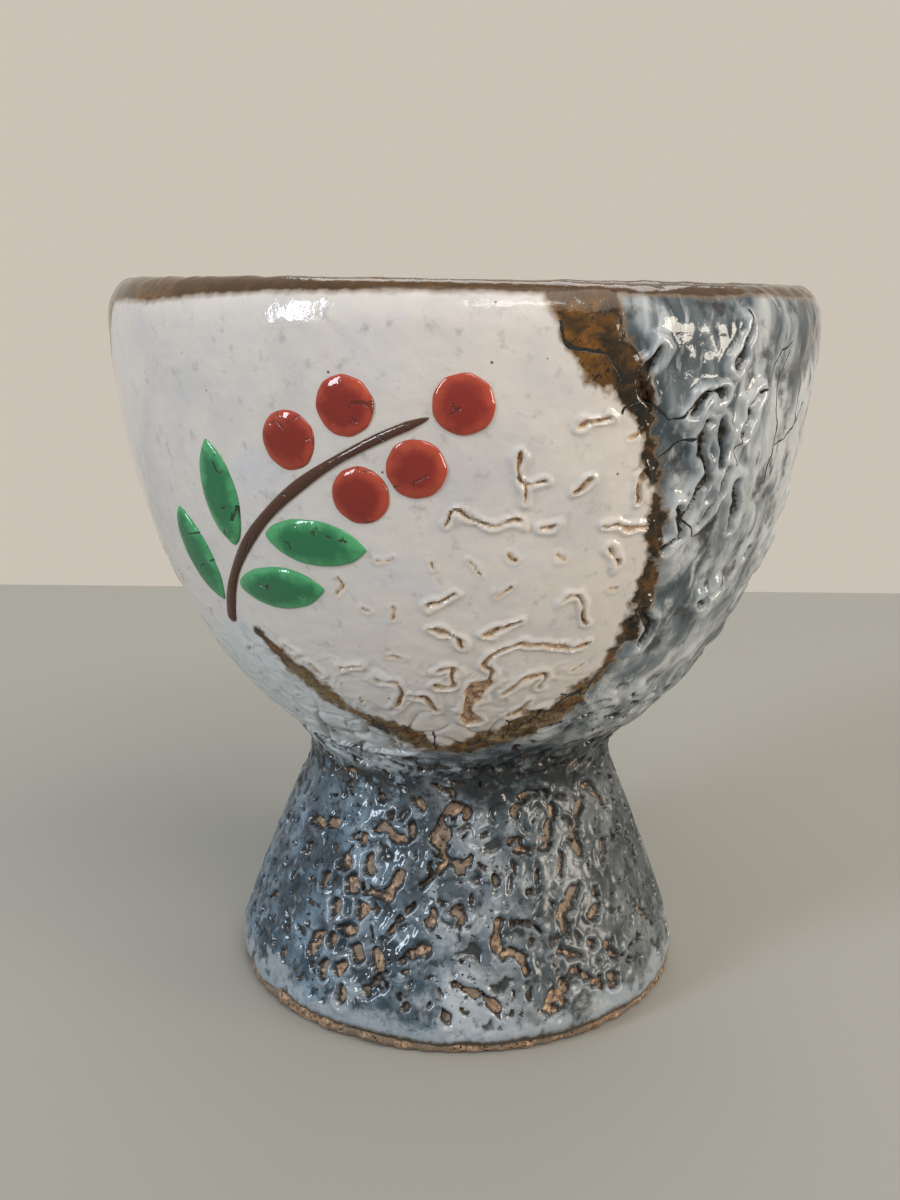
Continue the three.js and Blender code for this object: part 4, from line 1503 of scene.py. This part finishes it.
def crack_share(finish):
    """1 in a hairline crack and 0 beside it."""
    width = finish.times(finish.clouds(1.2, 2), 0.2)
    offset = finish.worked_out("ABSOLUTE", finish.attribute("crack"))
    hairline = finish.fade(finish.minus(offset, width), 0.02, -0.03)
    return finish.times(hairline, finish.fade(finish.attribute("beside_crack"), 0.4, 0.6))


def glaze_finish(name, on_foot=False):
    """The outside's glazes: white and slate, the iron over both, and the cracks."""
    finish = Finish(name)
    gap = finish.attribute("gap")
    colour = slate_colour(finish, gap, finish.attribute("rise"))
    if on_foot:
        colour = finish.lay(colour, FOOT_ROLL, finish.frayed(finish.attribute("edge"), 0.6), 1.35, 0.75)
    else:
        white = finish.frayed(finish.attribute("white_side"), 1.8, 1.2)
        colour = finish.lay(colour, white_colour(finish, gap), white, -0.25, 0.25)
    bared = finish.fade(gap, 0.03, -0.05)
    iron = brushed_iron(finish)
    colour = finish.lay(colour, IRON_STAIN, iron, 0.6, 0.1, 0.75)
    iron_tone = finish.mix(finish.times(bared, 0.5), iron_colour(finish), clay_colour(finish))
    colour = finish.lay(colour, iron_tone, iron, 0.2, -0.06)
    crack = crack_share(finish)
    colour = finish.mix(crack, colour, CRACK)
    grain = finish.times(finish.clouds(0.3, 5, 0.7), bared)
    dents = finish.plus(finish.times(crack, -0.9), finish.clouds(0.9, 3))
    finish.bump(finish.plus(dents, grain), 0.05 * MM)
    gloss = finish.blend(finish.clouds(3, 3), 0.06, 0.15)
    if on_foot:
        gloss = finish.times_plus(finish.fade(finish.right, 1, 9), 0.2, gloss)
    return finish.done(colour, finish.blend(bared, gloss, BARED_ROUGHNESS), IOR=GLAZE_IOR)


def lining_finish():
    """The inside: a thin pale glaze, crazed and flecked with iron."""
    finish = Finish("lining_glaze")
    colour = finish.ramp(finish.clouds(6, 4, 0.6, 0.5), LINING)
    craze = finish.cells(2.6, "DISTANCE_TO_EDGE").outputs["Distance"]
    colour = finish.lay(colour, LINING_CRAZE, craze, 0.025, 0.008, 0.5)
    colour = finish.mix(finish.dots(1.5, (0.12, 0.05), (0.7, 0.75)), colour, LINING_FLECK)
    iron = finish.frayed(finish.attribute("iron"), 5.0, 2.2)
    colour = finish.lay(colour, LINING_STAIN, iron, 2.2, 0.4)
    colour = finish.lay(colour, iron_colour(finish), iron, 0.7, 0.1)
    finish.bump(finish.clouds(1.1, 3), 0.05 * MM)
    return finish.done(colour, LINING_ROUGHNESS, IOR=GLAZE_IOR)


def enamel_finish(name):
    """Glassy enamel, deeper in colour where it lies thick, with small dark marks."""
    thin, thick, darkness = ENAMELS[name]
    finish = Finish(name)
    depth = finish.plus(finish.minus(finish.clouds(1.6, 4), 0.5), finish.attribute("inward"))
    colour = finish.mix(finish.fade(depth, 0.0, 0.5), thin, thick)
    edges = finish.cells(1.9, "DISTANCE_TO_EDGE").outputs["Distance"]
    mark = finish.times(finish.fade(edges, 0.05, 0.02), finish.fade(finish.clouds(1.8, 2), 0.56, 0.62))
    colour = finish.mix(finish.times(mark, darkness), colour, ENAMEL_MARK)
    finish.bump(finish.plus(finish.clouds(0.9, 2), finish.times(mark, -1.0)), 0.06 * MM)
    return finish.done(colour, ENAMEL_ROUGHNESS, IOR=ENAMEL_IOR)


def finished(piece, material, slot, *nodes):
    """Gives a piece its finish, rides it on the cup and hides the CAD nodes that it stands for."""
    piece.data.materials.clear()
    piece.data.materials.append(material)
    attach(piece, "root")
    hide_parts(*nodes)


def dress_cup():
    clay = clay_finish()
    for name in ("bowl_body", "luting_slip"):
        node = frame["nodes"][name]
        node.data.materials.clear()
        node.data.materials.append(clay)
    finished(foot_clay(), clay, "clay", "foot_body")
    finished(foot_glaze(), glaze_finish("foot_glaze", on_foot=True), "grey_glaze", "foot_glaze")
    finished(white_glaze(), glaze_finish("white_glaze"), "white_glaze", "white_glaze")
    finished(grey_glaze(), glaze_finish("grey_glaze"), "grey_glaze", "grey_glaze")
    iron = glaze_finish("iron_brushwork")
    finished(iron_line(), iron, "iron", "iron_line")
    finished(rim_iron(), iron, "iron", "rim_iron")
    finished(lining_glaze(), lining_finish(), "lining", "lining_glaze")


def dress_sprig():
    brown, green, red = (enamel_finish(name) for name in ENAMELS)
    finished(stem_enamel(), brown, "brown_enamel", "sprig_stem")
    for k in range(LEAF_COUNT):
        leaf = leaf_enamel(k + 1, FIRST_LEAF + k * LEAF_PITCH, 1 if k % 2 == 0 else -1)
        finished(leaf, green, "green_enamel", f"leaf_{k + 1}")
    finished(berry_enamel(1, stem_length, 0), red, "red_enamel", "berry_1")
    for k in range(1, SIDE_BERRIES + 1):
        berry = berry_enamel(k + 1, stem_length - k * BERRY_PITCH / 2, 1 if k % 2 == 0 else -1)
        finished(berry, red, "red_enamel", f"berry_{k + 1}")


# Camera and floor
CAMERA_PLACE = (-1.06 * MM, -121.9 * MM, 66 * MM)
CAMERA_TILT = 13.9
CAMERA_ROLL = 0.57
SENSOR_WIDTH = 36
FOCAL_PIXELS = 1291.5
PICTURE_PIXELS = 1200
TABLE_SIZE = 1.1
TABLE_BACK = 0.155
TABLE_COLOUR = (0.33, 0.32, 0.285)

# Light from all round and the wall that the camera sees
SKY_COLOUR = (0.97, 0.98, 1.0, 1)
SKY_STRENGTH = 0.48
WALL_COLOUR = (0.6, 0.54, 0.47, 1)

# Lamps, aimed at the cup: azimuth and elevation in degrees, then distance, width, height, power and
# colour. Azimuth 0 is in front of the cup and + is to its right.
LAMP_AIM = Vector((0, 0, 0.04))
LAMPS = {
    "left_window": (-56, 20, 1.2, 0.22, 0.7, 8.4, (0.8, 0.9, 1.0)),
    "right_window": (70, 6, 1.0, 0.4, 0.34, 5.2, (1.0, 0.9, 0.77)),
    "right_fill": (45, 50, 1.6, 1.4, 1.2, 9.8, (1.0, 0.89, 0.75)),
    "front_high": (18, 44, 1.2, 0.6, 0.2, 2.2, (1.0, 0.97, 0.93)),
    "top_panel": (10, 75, 1.6, 1.2, 1.2, 3.2, (1.0, 0.98, 0.95)),
    "back_panel": (172, 52, 1.6, 1.2, 0.6, 6.5, (1.0, 0.97, 0.94)),
}


def camera():
    tilt = math.radians(90 - CAMERA_TILT)
    bpy.ops.object.camera_add(location=CAMERA_PLACE, rotation=(tilt, 0, 0))
    view = bpy.context.object
    view.rotation_euler.rotate_axis("Z", math.radians(CAMERA_ROLL))
    view.data.sensor_fit = "AUTO"
    view.data.sensor_width = SENSOR_WIDTH
    view.data.lens = SENSOR_WIDTH * FOCAL_PIXELS / PICTURE_PIXELS
    view.data.clip_start = 1 * MM
    bpy.context.scene.camera = view
    view.select_set(False)


def floor():
    """A plain table top. Its far edge shows behind the cup."""
    bpy.ops.mesh.primitive_plane_add(size=TABLE_SIZE, location=(0, TABLE_BACK - TABLE_SIZE / 2, 0))
    ground = bpy.context.object
    ground.name = "floor"
    ground.data.materials.append(Finish("pale_paper").done(TABLE_COLOUR, 1.0, Specular_IOR_Level=0.0))
    ground.select_set(False)


def softbox(name, azimuth, elevation, distance, width, height, power, colour):
    """A flat lamp turned to the cup."""
    turn = math.radians(azimuth)
    rise = math.radians(elevation)
    level = math.cos(rise)
    place = LAMP_AIM + distance * Vector((math.sin(turn) * level, -math.cos(turn) * level, math.sin(rise)))
    bpy.ops.object.light_add(type="AREA", location=place)
    lamp = bpy.context.object
    lamp.name = name
    lamp.rotation_euler = (place - LAMP_AIM).to_track_quat("Z", "Y").to_euler()
    lamp.data.shape = "RECTANGLE"
    lamp.data.size = width
    lamp.data.size_y = height
    lamp.data.energy = power
    lamp.data.color = colour
    lamp.select_set(False)


def world():
    """Soft light from all round. The camera, and the gloss of the glazes, see a plain pale wall instead."""
    sky = bpy.data.worlds.new("studio")
    sky.use_nodes = True
    tree = sky.node_tree
    light = tree.nodes["Background"]
    light.inputs["Color"].default_value = SKY_COLOUR
    light.inputs["Strength"].default_value = SKY_STRENGTH
    wall = tree.nodes.new("ShaderNodeBackground")
    wall.inputs["Color"].default_value = WALL_COLOUR
    rays = tree.nodes.new("ShaderNodeLightPath")
    seen = rays.outputs["Is Camera Ray"]
    for kind in ("Is Glossy Ray", "Is Transmission Ray"):
        either = tree.nodes.new("ShaderNodeMath")
        either.operation = "MAXIMUM"
        tree.links.new(seen, either.inputs[0])
        tree.links.new(rays.outputs[kind], either.inputs[1])
        seen = either.outputs[0]
    chosen = tree.nodes.new("ShaderNodeMixShader")
    for socket, output in enumerate((seen, light.outputs[0], wall.outputs[0])):
        tree.links.new(output, chosen.inputs[socket])
    tree.links.new(chosen.outputs[0], tree.nodes["World Output"].inputs["Surface"])
    bpy.context.scene.world = sky


def studio():
    camera()
    floor()
    world()
    for name, values in LAMPS.items():
        softbox(name, *values)
    bpy.context.scene.view_settings.view_transform = "Standard"


studio()
dress_cup()
dress_sprig()
